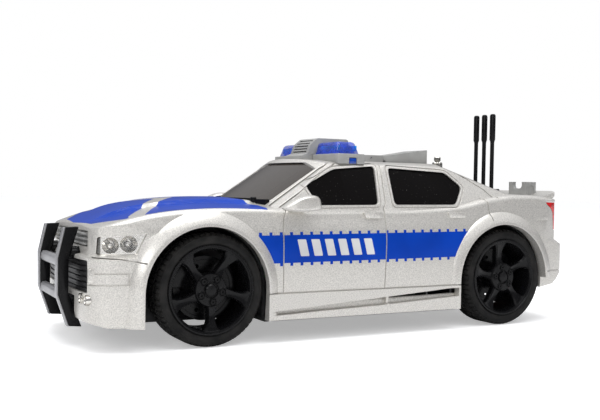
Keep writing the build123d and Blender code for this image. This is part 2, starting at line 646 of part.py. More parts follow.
# ---------------------------------------------------------------- chassis and electrics
def chassis():
    base = box(-46.8, 51.0, -FLOOR_HALF, FLOOR_HALF, CHASSIS_Z, FLOOR_TOP)
    base = base + box(50.5, 104, -25.5, 25.5, CHASSIS_Z, FLOOR_TOP)
    base = base + box(103.1, 113.8, -36, 36, CHASSIS_Z, FLOOR_TOP)
    base = base + box(112.3, 113.8, -30, 30, CHASSIS_Z, 21)
    base = base + box(-108.0, -99.0, -36, 36, *REAR_PAD)
    base = base + both_sides(box(-101, -45.8, 14, 17, 11.5, RAIL_TOP))
    for x, bottom in zip(ARCH_X, (CHASSIS_Z, 20)):
        liner = rod_y(x, ARCH_Z, 27.2, 24.4, LINER_Y) - rod_y(x, ARCH_Z, ARCH_R + 0.1, 25.6, 43)
        liner = liner & box(x - 30, x + 30, 20, 45, ARCH_Z, 60)
        wall = box(x - 27.2, x + 27.2, 24.4, 25.6, bottom, ARCH_Z)
        wall = wall + box(x - 27.2, x - 26.1, 24.4, LINER_Y, CHASSIS_Z if x > 0 else REAR_PAD[0], ARCH_Z)
        wall = wall + box(x + 26.1, x + 27.2, 24.4, LINER_Y, CHASSIS_Z, ARCH_Z)
        base = base + both_sides(liner + wall)
    base = base + box(-46.8, -45.7, -LINER_Y, LINER_Y, CHASSIS_Z, ARCH_Z)
    base = base + box(-100.1, -99.0, -LINER_Y, LINER_Y, REAR_PAD[0], ARCH_Z)
    base = base + both_sides(box(70, 80, 12, 18, FLOOR_TOP, 28))
    base = base + both_sides(rod_z(-5, 14, 1.8, FLOOR_TOP, BOARD_Z) + rod_z(38, 14, 1.8, FLOOR_TOP, BOARD_Z))
    base = base + box(19.2, 20.1, -10.6, 10.6, FLOOR_TOP, 20) + box(31.9, 32.8, -10.6, 10.6, FLOOR_TOP, 20)
    base = base + rod_z(BATTERY_SCREW_X, 0, 2.6, FLOOR_TOP, 16)
    base = base + (rod_z(SPEAKER_X, 0, 15.2, FLOOR_TOP, 14) - rod_z(SPEAKER_X, 0, 14.1, FLOOR_TOP, 15))
    base = base - box(-60, -36.5, -12.5, 12.5, 5, 40)
    base = base - rod_y(FRONT_AXLE_X, AXLE_Z, AXLE_R + RUNNING_GAP, -22, 22)
    for x in (FRONT_AXLE_X, REAR_AXLE_X):
        base = base - both_sides(rod_y(x, AXLE_Z, 2.6, 23, 30))
    for x, y in SCREW_SPOTS:
        low = REAR_PAD[0] if x < -90 else CHASSIS_Z
        base = base - both_sides(rod_z(x, y, 1.2, low - 1, low + 3) + rod_z(x, y, 2.4, low - 1, low + 1.3))
    for x in MOTOR_EARS:
        base = base - both_sides(rod_z(x, 15.0, 0.85, 12.5, 18))
    base = base - box(18.9, 38.7, -11.1, 11.1, CHASSIS_Z - 1, CHASSIS_Z + 1.25)
    base = base - box(20.1, 31.9, -10, 10, 5, 12) - rod_z(BATTERY_SCREW_X, 0, 0.85, 5, 15.5)
    for index in range(5):
        y = -8 + 4 * index
        base = base - box(SPEAKER_X - 6, SPEAKER_X + 6, y - 0.8, y + 0.8, 5, 12)
    return base - box(-1.6, 4.6, 33.2, 34.8, 5, 12) - box(-2.2, 5.2, 32.5, 35.5, 5, 9.7)


def screw(x, y, z, shank_r, length, head_r, head_h):
    """Pan-head screw driven upwards, with a cross recess in its head."""
    body = rod_z(x, y, shank_r, z, z + length) + rod_z(x, y, head_r, z, z + head_h)
    slot = box(x - head_r * 0.6, x + head_r * 0.6, y - 0.2, y + 0.2, z - 1, z + head_h * 0.5)
    return body - slot - (Pos(x, y, 0) * Rot(0, 0, 90) * Pos(-x, -y, 0) * slot)


def chassis_screws():
    screws = []
    for x, y in SCREW_SPOTS:
        low = REAR_PAD[0] if x < -90 else CHASSIS_Z
        item = screw(x, y, low + 0.1, 1.0, 8.5, 2.2, 1.2)
        screws += [item, mirrored(item)]
    return screws


def small_screws():
    screws = [screw(BATTERY_SCREW_X, 0, CHASSIS_Z, 0.8, 6.0, 1.6, 0.6)]
    for x in MOTOR_EARS:
        top = RAIL_TOP + 1.4
        item = rod_z(x, 15.0, 0.8, top - 5, top + 1) + rod_z(x, 15.0, 1.6, top, top + 1)
        screws += [item, mirrored(item)]
    return screws


def battery_cover():
    cover = box(19.0, 38.6, -11, 11, CHASSIS_Z, CHASSIS_Z + 1.2)
    for x in (22, 23.4, 24.8):
        cover = cover - box(x - 0.3, x + 0.3, -7, 7, CHASSIS_Z - 1, CHASSIS_Z + 0.4)
    return cover - rod_z(BATTERY_SCREW_X, 0, 1.0, 5, 12) - rod_z(BATTERY_SCREW_X, 0, 1.8, 5, CHASSIS_Z + 0.65)


def button_cells():
    return [rod_y(26, 15.9, CELL_R, y + 0.05, y + 0.05 + CELL_T) for y in (-8.1, -2.7, 2.7)]


def battery_contacts():
    plate = box(22, 30, 8.4, 8.8, 12, 21)
    return [plate, mirrored(plate)]


def speaker_frame():
    frame = rod_z(SPEAKER_X, 0, 14.0, FLOOR_TOP, 13.4) - rod_z(SPEAKER_X, 0, 12.5, 10, 12.4)
    return frame + rod_z(SPEAKER_X, 0, 7, 13.4, 17.5)


def speaker_cone():
    cone = Pos(SPEAKER_X, 0, 11.6) * Cone(12.5, 11.0, 0.6)
    return cone + rod_z(SPEAKER_X, 0, 4, 11.2, 12.4)


def sound_board():
    board = box(-8, 41, -17, 17, BOARD_Z, BOARD_Z + 1.2)
    return board + box(12, 24, -5, 5, BOARD_Z + 1.2, BOARD_Z + 3)


def power_switch_body():
    return box(-5, 8, 30, 38, FLOOR_TOP, 17) - box(-1.8, 4.8, 33, 35, 10, 15.2)


def power_switch_knob():
    return box(-1.2, 1.2, 33.4, 34.6, 9.0, 14.8) + box(-1.8, 1.8, 32.8, 35.2, 8.9, 9.6)


# ---------------------------------------------------------------- writing every node
def main():
    os.makedirs("parts", exist_ok=True)
    outer = tub() + cabin()
    for x in ARCH_X:
        outer = outer + flares(x)
    outer = outer + spoiler()
    save("body_shell", body_shell(outer))
    save("window_insert", window_insert())
    lenses, seats = headlight_parts(outer)
    for lens in lenses:
        save("headlight_lens_left" if lens.center().Y > 0 else "headlight_lens_right", lens)
    save("headlight_reflectors", *seats)
    for lamp in tail_lamps(outer):
        save("tail_lamp_left" if lamp.center().Y > 0 else "tail_lamp_right", lamp)
    fogs = [rod_x(y, z, 2.0, x - 4, x + 0.4) for y, z, x in FOG_SPOTS]
    save("fog_lamps", *fogs, *[mirrored(fog) for fog in fogs])
    save("grille", *grille())
    door = door_mirror(outer)
    save("mirror_left", door)
    save("mirror_right", mirrored(door))

    save("push_bar_upright_left", guard_upright())
    save("push_bar_upright_right", mirrored(guard_upright()))
    save("push_bar_fronts", guard_front(), mirrored(guard_front()))
    save("push_bar_rails", *guard_rails())
    save("push_bar_posts", *guard_posts())

    save("light_bar_base", light_bar_base(outer))
    save("light_bar_lens_left", light_bar_lens())
    save("light_bar_lens_right", mirrored(light_bar_lens()))
    save("light_bar_board", light_bar_board())
    save("light_bar_leds", *light_bar_leds())
    save("siren_cover", siren_cover() - outer)
    save("horn_bracket", horn_bracket(outer))
    save("horn_pin", horn_pin())
    save("horn_key", horn_key())
    save("horn_switch", *horn_switch(outer))
    save("roof_knob", roof_knob(outer))
    save("antenna_base", antenna_base())
    save("antennas", *[antenna(y) for y in ANTENNA_Y])
    bracket = boot_bracket(outer)
    save("boot_brackets", bracket, mirrored(bracket))

    for name, x in (("front", FRONT_AXLE_X), ("rear", REAR_AXLE_X)):
        save(f"{name}_axle", axle(x))
        save(f"{name}_brake_discs", brake_disc(x), mirrored(brake_disc(x)))
        wheel, rubber = rim(x), tyre(x)
        save(f"rim_{name}_left", wheel)
        save(f"rim_{name}_right", mirrored(wheel))
        save(f"tyre_{name}_left", rubber)
        save(f"tyre_{name}_right", mirrored(rubber))

    idler, fly = motor_centres()
    half = motor_half(idler, fly)
    save("motor_housing_left", half)
    save("motor_housing_right", mirrored(half))
    save("axle_gear", axle_gear())
    save("idler_gear", idler_gear(idler))
    save("idler_pin", rod_y(idler[0], idler[1], PIN_R, -MOTOR_HALF, MOTOR_HALF))
    save("flywheel_shaft", flywheel_shaft(fly))
    save("flywheel", flywheel(fly))

    save("chassis", chassis())
    save("chassis_screws", *chassis_screws())
    save("small_screws", *small_screws())
    save("battery_cover", battery_cover())
    save("button_cells", *button_cells())
    save("battery_contacts", *battery_contacts())
    save("speaker_frame", speaker_frame())
    save("speaker_cone", speaker_cone())
    save("sound_board", sound_board())
    save("power_switch_body", power_switch_body())
    save("power_switch_knob", power_switch_knob())


main()
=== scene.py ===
"""Looks of the toy patrol car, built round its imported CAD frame.

Shapes are made in millimetres in the car's own coordinates: +X forward, +Y to its left, +Z up, from
the ground under the middle of the wheelbase. place() moves a finished piece into the frame, in metres.
"""
import json
import math

import bmesh
import bpy
from mathutils import Matrix, Vector

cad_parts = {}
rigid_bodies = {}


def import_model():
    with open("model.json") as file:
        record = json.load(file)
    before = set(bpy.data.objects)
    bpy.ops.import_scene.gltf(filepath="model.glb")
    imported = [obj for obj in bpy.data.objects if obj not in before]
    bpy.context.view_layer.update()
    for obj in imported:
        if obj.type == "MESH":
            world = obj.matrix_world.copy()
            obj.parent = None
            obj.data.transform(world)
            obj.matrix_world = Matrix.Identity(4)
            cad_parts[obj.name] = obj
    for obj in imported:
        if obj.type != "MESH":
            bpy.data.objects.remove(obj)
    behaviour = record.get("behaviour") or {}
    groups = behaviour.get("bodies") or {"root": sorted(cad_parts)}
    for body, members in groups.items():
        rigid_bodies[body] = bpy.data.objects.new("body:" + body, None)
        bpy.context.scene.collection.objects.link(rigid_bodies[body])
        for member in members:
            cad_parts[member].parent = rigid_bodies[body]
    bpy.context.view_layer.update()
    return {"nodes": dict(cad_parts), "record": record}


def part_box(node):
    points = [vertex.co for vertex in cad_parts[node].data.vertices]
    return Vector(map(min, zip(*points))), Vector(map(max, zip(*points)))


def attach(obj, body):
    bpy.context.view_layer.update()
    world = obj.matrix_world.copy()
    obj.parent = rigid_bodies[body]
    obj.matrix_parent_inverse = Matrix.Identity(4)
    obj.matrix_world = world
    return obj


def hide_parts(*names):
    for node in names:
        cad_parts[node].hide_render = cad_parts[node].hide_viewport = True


for startup_object in list(bpy.data.objects):
    bpy.data.objects.remove(startup_object)
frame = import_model()

# ---- places and sizes, shared with the CAD
MM = 0.001
AXLE_X = 75.0
axle_low, axle_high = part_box("front_axle")
SHIFT = (axle_low.x + axle_high.x) / 2 / MM - AXLE_X
TYRE_R = 22.85
ARCH_R = 26.0
ARCH_Z = 22.2
ARCH_X = (77.0, -72.9)
FLARE_Y = 46.6
WALL = 1.6
SEAM_DEPTH = 0.45
SILL_Z = 9.5
LEDGE_Z = 36.6
SHOULDER_WIDTH = 3.0
SHOULDER_DROP = 2.6
BONNET_RISE = 1.5

TOP_CENTRE = [(-128, 61.5), (-112, 62.6), (-100, 62.8), (-88, 61.5), (-68, 59), (-45, 57.5), (0, 57),
              (40, 58), (57, 59.5), (77, 59), (91, 57.4), (104, 54.7), (118, 48.7), (132, 42)]
TOP_EDGE = [(-128, 57.5), (-112, 60.6), (-96, 62.2), (-84, 62.3), (-66, 60.4), (-49, 57), (-30, 55.5),
            (15, 54.8), (35, 54.6), (52, 55.5), (78, 55.3), (93, 54), (104, 52), (118, 47.7), (132, 42)]
BELT_HALF = [(-128, 36), (-112, 39.6), (-98, 41.4), (-75, 42.6), (-40, 42.4), (0, 42), (45, 42.4),
             (75, 43.2), (95, 42.8), (104, 41.8), (118, 38.5), (132, 34)]
SIDE_HALF = [(-128, 40), (-116, 41), (-98, 43), (-75, 44.8), (-40, 45), (45, 45), (75, 45), (95, 44.6),
             (104, 43.8), (116, 43), (132, 40)]
UPPER_NOSE = [(90, 46), (101, 43), (112, 39.5), (118.4, 36.3), (120.6, 31), (121.8, 20), (122.3, 0)]
LOWER_NOSE = [(96, 47), (107, 43.6), (115.5, 42.8), (119.5, 40.5), (122.4, 36.5), (124, 26), (125, 0)]
UPPER_TAIL = [(-114.6, 0), (-114.4, 26), (-113.6, 34), (-111.6, 38.5), (-102, 42.4), (-86, 46)]
LOWER_TAIL = [(-118.6, 0), (-118.2, 26), (-117, 35), (-114.5, 40), (-108, 42.6), (-92, 46)]
SIDE_OUTLINE = [
    (102, SILL_Z), (115.7, 9.9), (123.6, 12), (124.8, 18), (125, 31), (123.4, LEDGE_Z),
    (121.4, 37), (122, 43), (119.6, 48.6), (116, 70), (-108, 70), (-114.6, 64), (-113.2, 60.6),
    (-114.7, 45), (-114.9, 39.4), (-118.6, 38.9), (-118.6, 27), (-115.4, 24.5), (-108, 18.4),
    (-99.6, 17.2), (-99, SILL_Z),
]
CABIN_SIDE = [(43.6, 48), (42.5, 50), (40.4, 57.2), (32.6, 73.0)]
CABIN_ROOF = [(32.6, 73.0), (30.6, 75.0), (26, 75.9), (14, 77.0), (0, 77.4)]
TAIL_SIDE = [(43.6, 48), (42.5, 50), (38.0, 57.2), (33, 62)]
TAIL_ROOF = [(33, 62), (24, 71.0), (21, 73), (12, 75.4), (0, 76.4)]
SCREEN_LEAN = (27.0, 17.7)
BACKLIGHT_LEAN = (33.0, 9.9)

SIDE_WINDOWS = [
    [(28.8, 64.6), (14.3, 71.6), (-6.6, 73.4), (-4.2, 57.9), (25.0, 57.6)],
    [(-15.4, 72.8), (-14.4, 58.0), (-47.8, 58.2), (-53.3, 65.3), (-46.1, 71.4)],
]
SCREEN_OPENING = [(52, 29.8), (64, 15), (64, -15), (52, -29.8), (21.6, -29.8), (21.6, 29.8)]
BACKLIGHT_OPENING = [(-66, 21), (-66, -21), (-86, -26), (-90, -15), (-90, 15), (-86, 26)]
HEADLIGHT = [(118.6, 43.9), (101.6, 45.4), (105.4, 37.6), (118.8, 37.4)]
TAIL_LAMP = [(-103.4, 59.0), (-119, 59.0), (-119, 45.0), (-110.6, 45.0), (-109.4, 53.8), (-107.6, 55.8),
             (-104.6, 57.5)]
FOG_SPOTS = [(31, 20.5, 123.8), (36, 20.2, 122.9)]
INTAKE_HALF = 35.9
GRILLE_HALF = 29.0

GUARD_Y = (16.1, 19.1)
GUARD_FRONT = [(127.8, 47.0), (130.5, 35.0), (130.4, 20.4), (126.1, 7.9)]
GUARD_REAR = [(121.8, 47.2), (125.6, 34.5), (125.6, 21.1), (120.3, 7.5)]
GUARD_SKIN = 0.8
HORN_PLAN = [(-30.2, 4.2), (-36, 5.2), (-44, 7.6), (-53, 10)]
HORN_SLOT = [(-31.5, 5.2), (-36, 5.8), (-44, 8.2), (-53.6, 10.6)]
KEY_PIVOT = (-22.5, 0, 79.2)
KNOB_X = -67.0
ANTENNA_X = -97.8
POST_Y = 17.6
POSTS = ((37.0, 2.6, 116), (18.0, 2.7, 113.8))  # height, radius, rear end
RAIL_HEIGHTS = (31.3, 18.1)
BAR_TOP = 79.6
LAMP_BOARD = (0.4, 8.1, -26.1, 26.1, 79.0, 80.8)  # space left in the light bar for its board
OUT = 60.0  # past the widest point of the car
BORE = 0.01  # hair-thin hole along the axis of turned shapes
SEATED = -0.02  # inset of the hull that the fittings are cut by


# ---- curves and outlines
def line_at(points, x):
    """Smooth value of a character line at x: cubic Hermite with averaged slopes."""
    slopes = [(b[1] - a[1]) / (b[0] - a[0]) for a, b in zip(points, points[1:])]
    tangents = [slopes[0]]
    for left, right in zip(slopes, slopes[1:]):
        tangents.append(0 if left * right < 0 else (left + right) / 2)
    tangents.append(slopes[-1])
    index = max(i for i in range(len(points) - 1) if i == 0 or points[i][0] <= x)
    (x0, v0), (x1, v1) = points[index], points[index + 1]
    span = x1 - x0
    t = (x - x0) / span
    return (v0 * (1 + 2 * t) * (1 - t) ** 2 + tangents[index] * span * t * (1 - t) ** 2
            + v1 * t * t * (3 - 2 * t) + tangents[index + 1] * span * t * t * (t - 1))


def smooth(t):
    t = max(0.0, min(1.0, t))
    return t * t * (3 - 2 * t)


def blend(a, b, t):
    return tuple(p + (q - p) * t for p, q in zip(a, b))


def chain(points, steps):
    """Catmull-Rom curve through the points."""
    ends = [blend(points[0], points[1], -1)] + points + [blend(points[-1], points[-2], -1)]
    made = [points[0]]
    for p0, p1, p2, p3 in zip(ends, ends[1:], ends[2:], ends[3:]):
        for step in range(1, steps + 1):
            t = step / steps
            made.append(tuple(
                0.5 * (2 * b + (c - a) * t + (2 * a - 5 * b + 4 * c - d) * t * t
                       + (3 * b - a - 3 * c + d) * t ** 3) for a, b, c, d in zip(p0, p1, p2, p3)))
    return made


def turned(outline):
    """The outline in anticlockwise order."""
    area = sum(a[0] * b[1] - b[0] * a[1] for a, b in zip(outline, outline[1:] + outline[:1]))
    return outline if area > 0 else outline[::-1]


def grow(outline, amount):
    """The outline with every side moved outwards by amount."""
    points = [Vector(p) for p in turned(outline)]
    made = []
    for before, here, after in zip(points[-1:] + points, points, points[1:] + points[:1]):
        first, second = (here - before).normalized(), (after - here).normalized()
        bisector = Vector((first.y + second.y, -first.x - second.x)).normalized()
        made.append(tuple(here + bisector * amount / max(0.3, bisector.dot(Vector((first.y, -first.x))))))
    return made


def rounded(outline, radius, steps=4):
    """The outline with its corners replaced by short curves."""
    made = []
    for before, here, after in zip(outline[-1:] + outline[:-1], outline, outline[1:] + outline[:1]):
        reach = min(radius, math.dist(before, here) / 2.1, math.dist(here, after) / 2.1)
        start = blend(here, before, reach / math.dist(here, before))
        end = blend(here, after, reach / math.dist(here, after))
        for step in range(steps + 1):
            t = step / steps
            made.append(blend(blend(start, here, t), blend(here, end, t), t))
    return made


def arc(centre, radius, start, end, steps):
    """Points on a circle from start to end, in degrees."""
    turns = [math.radians(start + (end - start) * step / steps) for step in range(steps + 1)]
    return [(centre[0] + radius * math.cos(a), centre[1] + radius * math.sin(a)) for a in turns]


def row(first, pitch, count):
    return [first + pitch * index for index in range(count)]


def ribbon(points, width):
    """Outline of a strip of constant width along the points."""
    left, right = [], []
    for index, here in enumerate(points):
        before, after = points[max(0, index - 1)], points[min(len(points) - 1, index + 1)]
        along = (Vector(after) - Vector(before)).normalized()
        side = Vector((-along.y, along.x)) * width / 2
        left.append(tuple(Vector(here) + side))
        right.append(tuple(Vector(here) - side))
    return left + right[::-1]


def plan_pair(half):
    return half + [(x, -y) for x, y in reversed(half)]


# ---- meshes
def linked(obj):
    bpy.context.scene.collection.objects.link(obj)
    return obj


def mesh_object(verts, faces):
    mesh = bpy.data.meshes.new("shape")
    mesh.from_pydata([tuple(v) for v in verts], [], faces)
    form = bmesh.new()
    form.from_mesh(mesh)
    bmesh.ops.remove_doubles(form, verts=form.verts, dist=1e-4)
    bmesh.ops.recalc_face_normals(form, faces=form.faces)
    form.to_mesh(mesh)
    form.free()
    return linked(bpy.data.objects.new("shape", mesh))


def skin(rings, loop=False):
    """Closed mesh through rings of points; loop joins the last ring to the first."""
    count = len(rings[0])
    verts = [point for ring in rings for point in ring]
    faces = []
    for index in range(len(rings) if loop else len(rings) - 1):
        a, b = index * count, (index + 1) % len(rings) * count
        for j in range(count):
            k = (j + 1) % count
            faces.append((a + j, a + k, b + k, b + j))
    if not loop:
        faces.append(tuple(range(count)))
        faces.append(tuple(range(len(verts) - count, len(verts))))
    return mesh_object(verts, faces)


def at(axis, point, level):
    u, v = point
    return {"x": (level, u, v), "y": (u, level, v), "z": (u, v, level)}[axis]


def prism(outline, axis, low, high):
    return skin([[at(axis, point, level) for point in outline] for level in (low, high)])


def box(x0, x1, y0, y1, z0, z1):
    return prism([(x0, y0), (x1, y0), (x1, y1), (x0, y1)], "z", z0, z1)


def slab(x0, x1, half, z0, z1):
    """Box reaching equally far to both sides."""
    return box(x0, x1, -half, half, z0, z1)


def lathe(profile, axis, centre, segments=64, flutes=0, depth=0.0):
    """Solid of revolution: profile is (radius, level) pairs, closed on the axis or round a ring."""
    rings = []
    for step in range(segments):
        angle = 2 * math.pi * step / segments
        swell = 1 - depth * (0.5 + 0.5 * math.cos(flutes * angle)) if flutes else 1.0
        ring = []
        for radius, level in profile:
            u, v = radius * swell * math.cos(angle), radius * swell * math.sin(angle)
            x, y, z = at(axis, (u, v), level)
            ring.append((x + centre[0], y + centre[1], z + centre[2]))
        rings.append(ring)
    return skin(rings, loop=True)


def rod(axis, centre, radius, low, high, edge=0.2, segments=48):
    """Round bar with softened rims."""
    profile = [(BORE, low), (radius - edge, low), (radius, low + edge), (radius, high - edge),
               (radius - edge, high), (BORE, high)]
    return lathe(profile, axis, centre, segments)


def apply_modifiers(obj):
    graph = bpy.context.evaluated_depsgraph_get()
    mesh = bpy.data.meshes.new_from_object(obj.evaluated_get(graph))
    old = obj.data
    obj.modifiers.clear()
    obj.data = mesh
    bpy.data.meshes.remove(old)
    return obj


def combine(base, tool, operation):
    modifier = base.modifiers.new("combine", "BOOLEAN")
    modifier.operation = operation
    modifier.solver = "MANIFOLD"
    modifier.object = tool
    apply_modifiers(base)
    bpy.data.objects.remove(tool)


def cut(base, *tools):
    for tool in tools:
        combine(base, tool, "DIFFERENCE")
    return base


def add(base, *tools):
    for tool in tools:
        combine(base, tool, "UNION")
    return base


def keep(base, *tools):
    for tool in tools:
        combine(base, tool, "INTERSECT")
    return base


def soften(obj, width):
    """Real bevels on the edges sharper than 32 degrees."""
    modifier = obj.modifiers.new("soften", "BEVEL")
    modifier.width = width
    modifier.segments = 2
    modifier.limit_method = "ANGLE"
    modifier.angle_limit = math.radians(32)
    return apply_modifiers(obj)


def copy_of(obj):
    twin = linked(obj.copy())
    twin.data = obj.data.copy()
    return twin


def mirrored(obj):
    twin = copy_of(obj)
    twin.data.transform(Matrix.Scale(-1, 4, (0, 1, 0)))
    twin.data.flip_normals()
    return twin


def joined(objs):
    """Separate shapes in one mesh."""
    form = bmesh.new()
    for obj in objs:
        form.from_mesh(obj.data)
    first = objs[0]
    form.to_mesh(first.data)
    form.free()
    for obj in objs[1:]:
        bpy.data.objects.remove(obj)
    return first


def both_sides(obj):
    return joined([obj, mirrored(obj)])


def on_axle(obj, x):
    """Moves a shape made round the origin to the axle at x."""
    obj.data.transform(Matrix.Translation((x, 0, TYRE_R)))
    return obj


def place(obj, name, slot, *nodes, body="root", material=None, sharp=28):
    """Moves a finished shape into the frame and says what it is; its slot gives its material."""
    obj.name = name
    obj.data.name = name
    obj.data.transform(Matrix.Scale(MM, 4) @ Matrix.Translation((SHIFT, 0, 0)))
    obj.data.shade_smooth()
    obj.data.set_sharp_from_angle(angle=math.radians(sharp))
    obj.data.materials.clear()
    obj.data.materials.append(material or SLOTS[slot])
    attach(obj, body)
    if nodes:
        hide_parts(*nodes)


# ---- materials
def new_material(name, color, roughness, metallic=0.0, coat=0.0, coat_roughness=0.1, specular=0.5,
                 alpha=1.0):
    """Principled material; returns it with its surface, which is its nodes, links and shader."""
    material = bpy.data.materials.new(name)
    material.use_nodes = True
    nodes, links = material.node_tree.nodes, material.node_tree.links
    shader = nodes["Principled BSDF"]
    for socket, value in (("Base Color", (*color, 1)), ("Roughness", roughness), ("Metallic", metallic),
                          ("Coat Weight", coat), ("Coat Roughness", coat_roughness),
                          ("Specular IOR Level", specular), ("Alpha", alpha)):
        shader.inputs[socket].default_value = value
    return material, (nodes, links, shader)


def noise(surface, size_mm, detail=3.0, stretch=(1, 1, 1)):
    """Noise fixed to the piece, with features of about size_mm."""
    nodes, links, _ = surface
    mapping = nodes.new("ShaderNodeMapping")
    mapping.inputs["Scale"].default_value = stretch
    links.new(nodes.new("ShaderNodeTexCoord").outputs["Object"], mapping.inputs["Vector"])
    made = nodes.new("ShaderNodeTexNoise")
    made.inputs["Scale"].default_value = 1 / (size_mm * MM)
    made.inputs["Detail"].default_value = detail
    links.new(mapping.outputs["Vector"], made.inputs["Vector"])
    return made.outputs["Fac"]


def ramp(nodes, links, source, stops):
    made = nodes.new("ShaderNodeValToRGB")
    elements = made.color_ramp.elements
    while len(elements) < len(stops):
        elements.new(0.5)
    for element, (position, color) in zip(elements, stops):
        element.position = position
        element.color = (*color, 1)
    links.new(source, made.inputs["Fac"])
    return made.outputs["Color"]


def tint(surface, source, *stops):
    """Colour that follows a noise."""
    nodes, links, shader = surface
    links.new(ramp(nodes, links, source, stops), shader.inputs["Base Color"])


def gloss(surface, source, start, low, end, high):
    """Roughness that runs from low to high as a noise goes from start to end."""
    nodes, links, shader = surface
    stops = [(start, (low,) * 3), (end, (high,) * 3)]
    links.new(ramp(nodes, links, source, stops), shader.inputs["Roughness"])


def shades(color, spread):
    return tuple(c * (1 - spread) for c in color), tuple(min(1.0, c * (1 + spread)) for c in color)


def drift(surface, source, color, spread, start=0.3, end=0.7):
    """Colour that drifts a little to both sides of its middle."""
    dark, light = shades(color, spread)
    tint(surface, source, (start, dark), (end, light))


def bump(surface, source, height_mm, edge_mm=0.0):
    """Fine relief, over edges rounded to edge_mm in the shading."""
    nodes, links, shader = surface
    made = nodes.new("ShaderNodeBump")
    made.inputs["Distance"].default_value = height_mm * MM
    made.inputs["Strength"].default_value = 1.0
    links.new(source, made.inputs["Height"])
    if edge_mm:
        bevel = nodes.new("ShaderNodeBevel")
        bevel.samples = 4
        bevel.inputs["Radius"].default_value = edge_mm * MM
        links.new(bevel.outputs["Normal"], made.inputs["Normal"])
    links.new(made.outputs["Normal"], shader.inputs["Normal"])


def moulded(name, color, roughness, spread=0.12, relief_mm=0.01, **sockets):
    """Moulded plastic: slight colour drift, fine grain in gloss and relief."""
    material, surface = new_material(name, color, roughness, **sockets)
    drift(surface, noise(surface, 9.0, 2.0), color, spread)
    grain = noise(surface, 0.35)
    gloss(surface, grain, 0.35, roughness * 0.8, 0.65, min(1.0, roughness * 1.25))
    bump(surface, grain, relief_mm, 0.15)
    return material


def silver_paint():
    """Silver plastic with fine flake under a thin clear coat."""
    color = (0.66, 0.64, 0.60)
    material, surface = new_material("silver_plastic", color, 0.33, metallic=0.5, coat=0.35,
                                     coat_roughness=0.14)
    flake = noise(surface, 0.42, 1.0)
    dark, light = shades(color, 0.2)
    tint(surface, flake, (0.3, dark), (0.5, color), (0.72, light))
    gloss(surface, flake, 0.3, 0.28, 0.7, 0.42)
    bump(surface, flake, 0.012, 0.3)
    return material


def decal_film(name, color):
    """Glossy printed film with a faint orange-peel surface."""
    material, surface = new_material(name, color, 0.32, coat=0.12, coat_roughness=0.06, specular=0.12)
    drift(surface, noise(surface, 14.0, 2.0), color, 0.1)
    bump(surface, noise(surface, 1.6, 1.0), 0.006)
    return material


def glazing(name, color, specular):
    """Black gloss plastic with a few dust specks."""
    material, surface = new_material(name, color, 0.08, specular=specular)
    specks = noise(surface, 0.5, 0.0)
    tint(surface, specks, (0.8, color), (0.88, (0.1, 0.095, 0.09)))
    gloss(surface, noise(surface, 6.0), 0.3, 0.05, 0.8, 0.14)
    bump(surface, specks, 0.004, 0.12)
    return material


def tinted(name, color, alpha, roughness=0.06, glow=0.0):
    """Clear coloured plastic; glow is emission in its own colour: lamp light in the light bar, painted light
    on the unlit tail lamps.
    """
    material, surface = new_material(name, color, roughness, alpha=alpha, coat=0.6, coat_roughness=0.03)
    drift(surface, noise(surface, 3.0, 2.0), color, 0.35, 0.35, 0.65)
    shader = surface[2]
    shader.inputs["Emission Color"].default_value = (*color, 1)
    shader.inputs["Emission Strength"].default_value = glow
    bump(surface, noise(surface, 1.2, 1.0), 0.02)
    return material


def brushed(name, color, roughness, stretch):
    """Turned or drawn metal with fine lines."""
    material, surface = new_material(name, color, roughness, metallic=1.0)
    lines = noise(surface, 1.0, 4.0, stretch)
    drift(surface, lines, color, 0.15)
    gloss(surface, lines, 0.3, roughness * 0.7, 0.7, roughness * 1.4)
    bump(surface, lines, 0.006, 0.1)
    return material


def tyre_rubber():
    """Dull black rubber, dustier in patches."""
    material, surface = new_material("tyre_rubber", (BORE, 0.0095, 0.009), 0.55, specular=0.15)
    tint(surface, noise(surface, 5.0, 5.0), (0.35, (0.008, 0.008, 0.008)), (0.7, (0.022, 0.021, 0.02)))
    grain = noise(surface, 0.3, 2.0)
    gloss(surface, grain, 0.3, 0.5, 0.7, 0.72)
    bump(surface, grain, 0.02)
    return material


SLOTS = {
    "silver_plastic": silver_paint(),
    "black_glazing": glazing("black_glazing", (0.004, 0.0035, 0.0035), 0.04),
    "tyre_rubber": tyre_rubber(),
    "chromed_reflector": brushed("chromed_reflector", (0.72, 0.70, 0.66), 0.12, (1, 1, 1)),
    "chromed_knob": brushed("chromed_knob", (0.62, 0.6, 0.55), 0.16, (1, 1, 6)),
    "steel": brushed("steel", (0.55, 0.55, 0.56), 0.28, (1, 12, 1)),
    # the tail lamps hold no bulb: the red lens's faint glow is painted light
    "red_lens": tinted("red_lens", (0.55, 0.012, 0.012), 1.0, glow=0.04),
    "blue_lens": tinted("blue_lens", (0.001, 0.045, 0.55), 0.6, glow=0.05),
    "clear_lens": tinted("clear_lens", (0.75, 0.77, 0.78), 0.1),
}
for name, color, roughness, extra in (
    ("grey_trim", (0.33, 0.33, 0.32), 0.55, {}),
    ("black_trim", (0.004, 0.004, 0.0045), 0.34, dict(specular=0.2)),
    ("silver_trim", (0.4, 0.4, 0.41), 0.38, dict(metallic=0.6)),
    ("wheel_plastic", (0.004, 0.004, 0.0045), 0.24, dict(relief_mm=0.012, specular=0.2)),
    ("black_chassis", (0.02, 0.02, 0.021), 0.6, dict(relief_mm=0.03)),
    ("circuit_board", (0.02, 0.16, 0.05), 0.4, dict(spread=0.3)),
    ("led_lens", (0.5, 0.68, 0.95), 0.15, {}),
    ("motor_plastic", (0.7, 0.69, 0.65), 0.5, {}),
    ("gear_plastic", (0.8, 0.78, 0.7), 0.45, {}),
    ("speaker_paper", (0.05, 0.05, 0.05), 0.85, dict(spread=0.3, relief_mm=0.04)),
):
    SLOTS[name] = moulded(name, color, roughness, **extra)
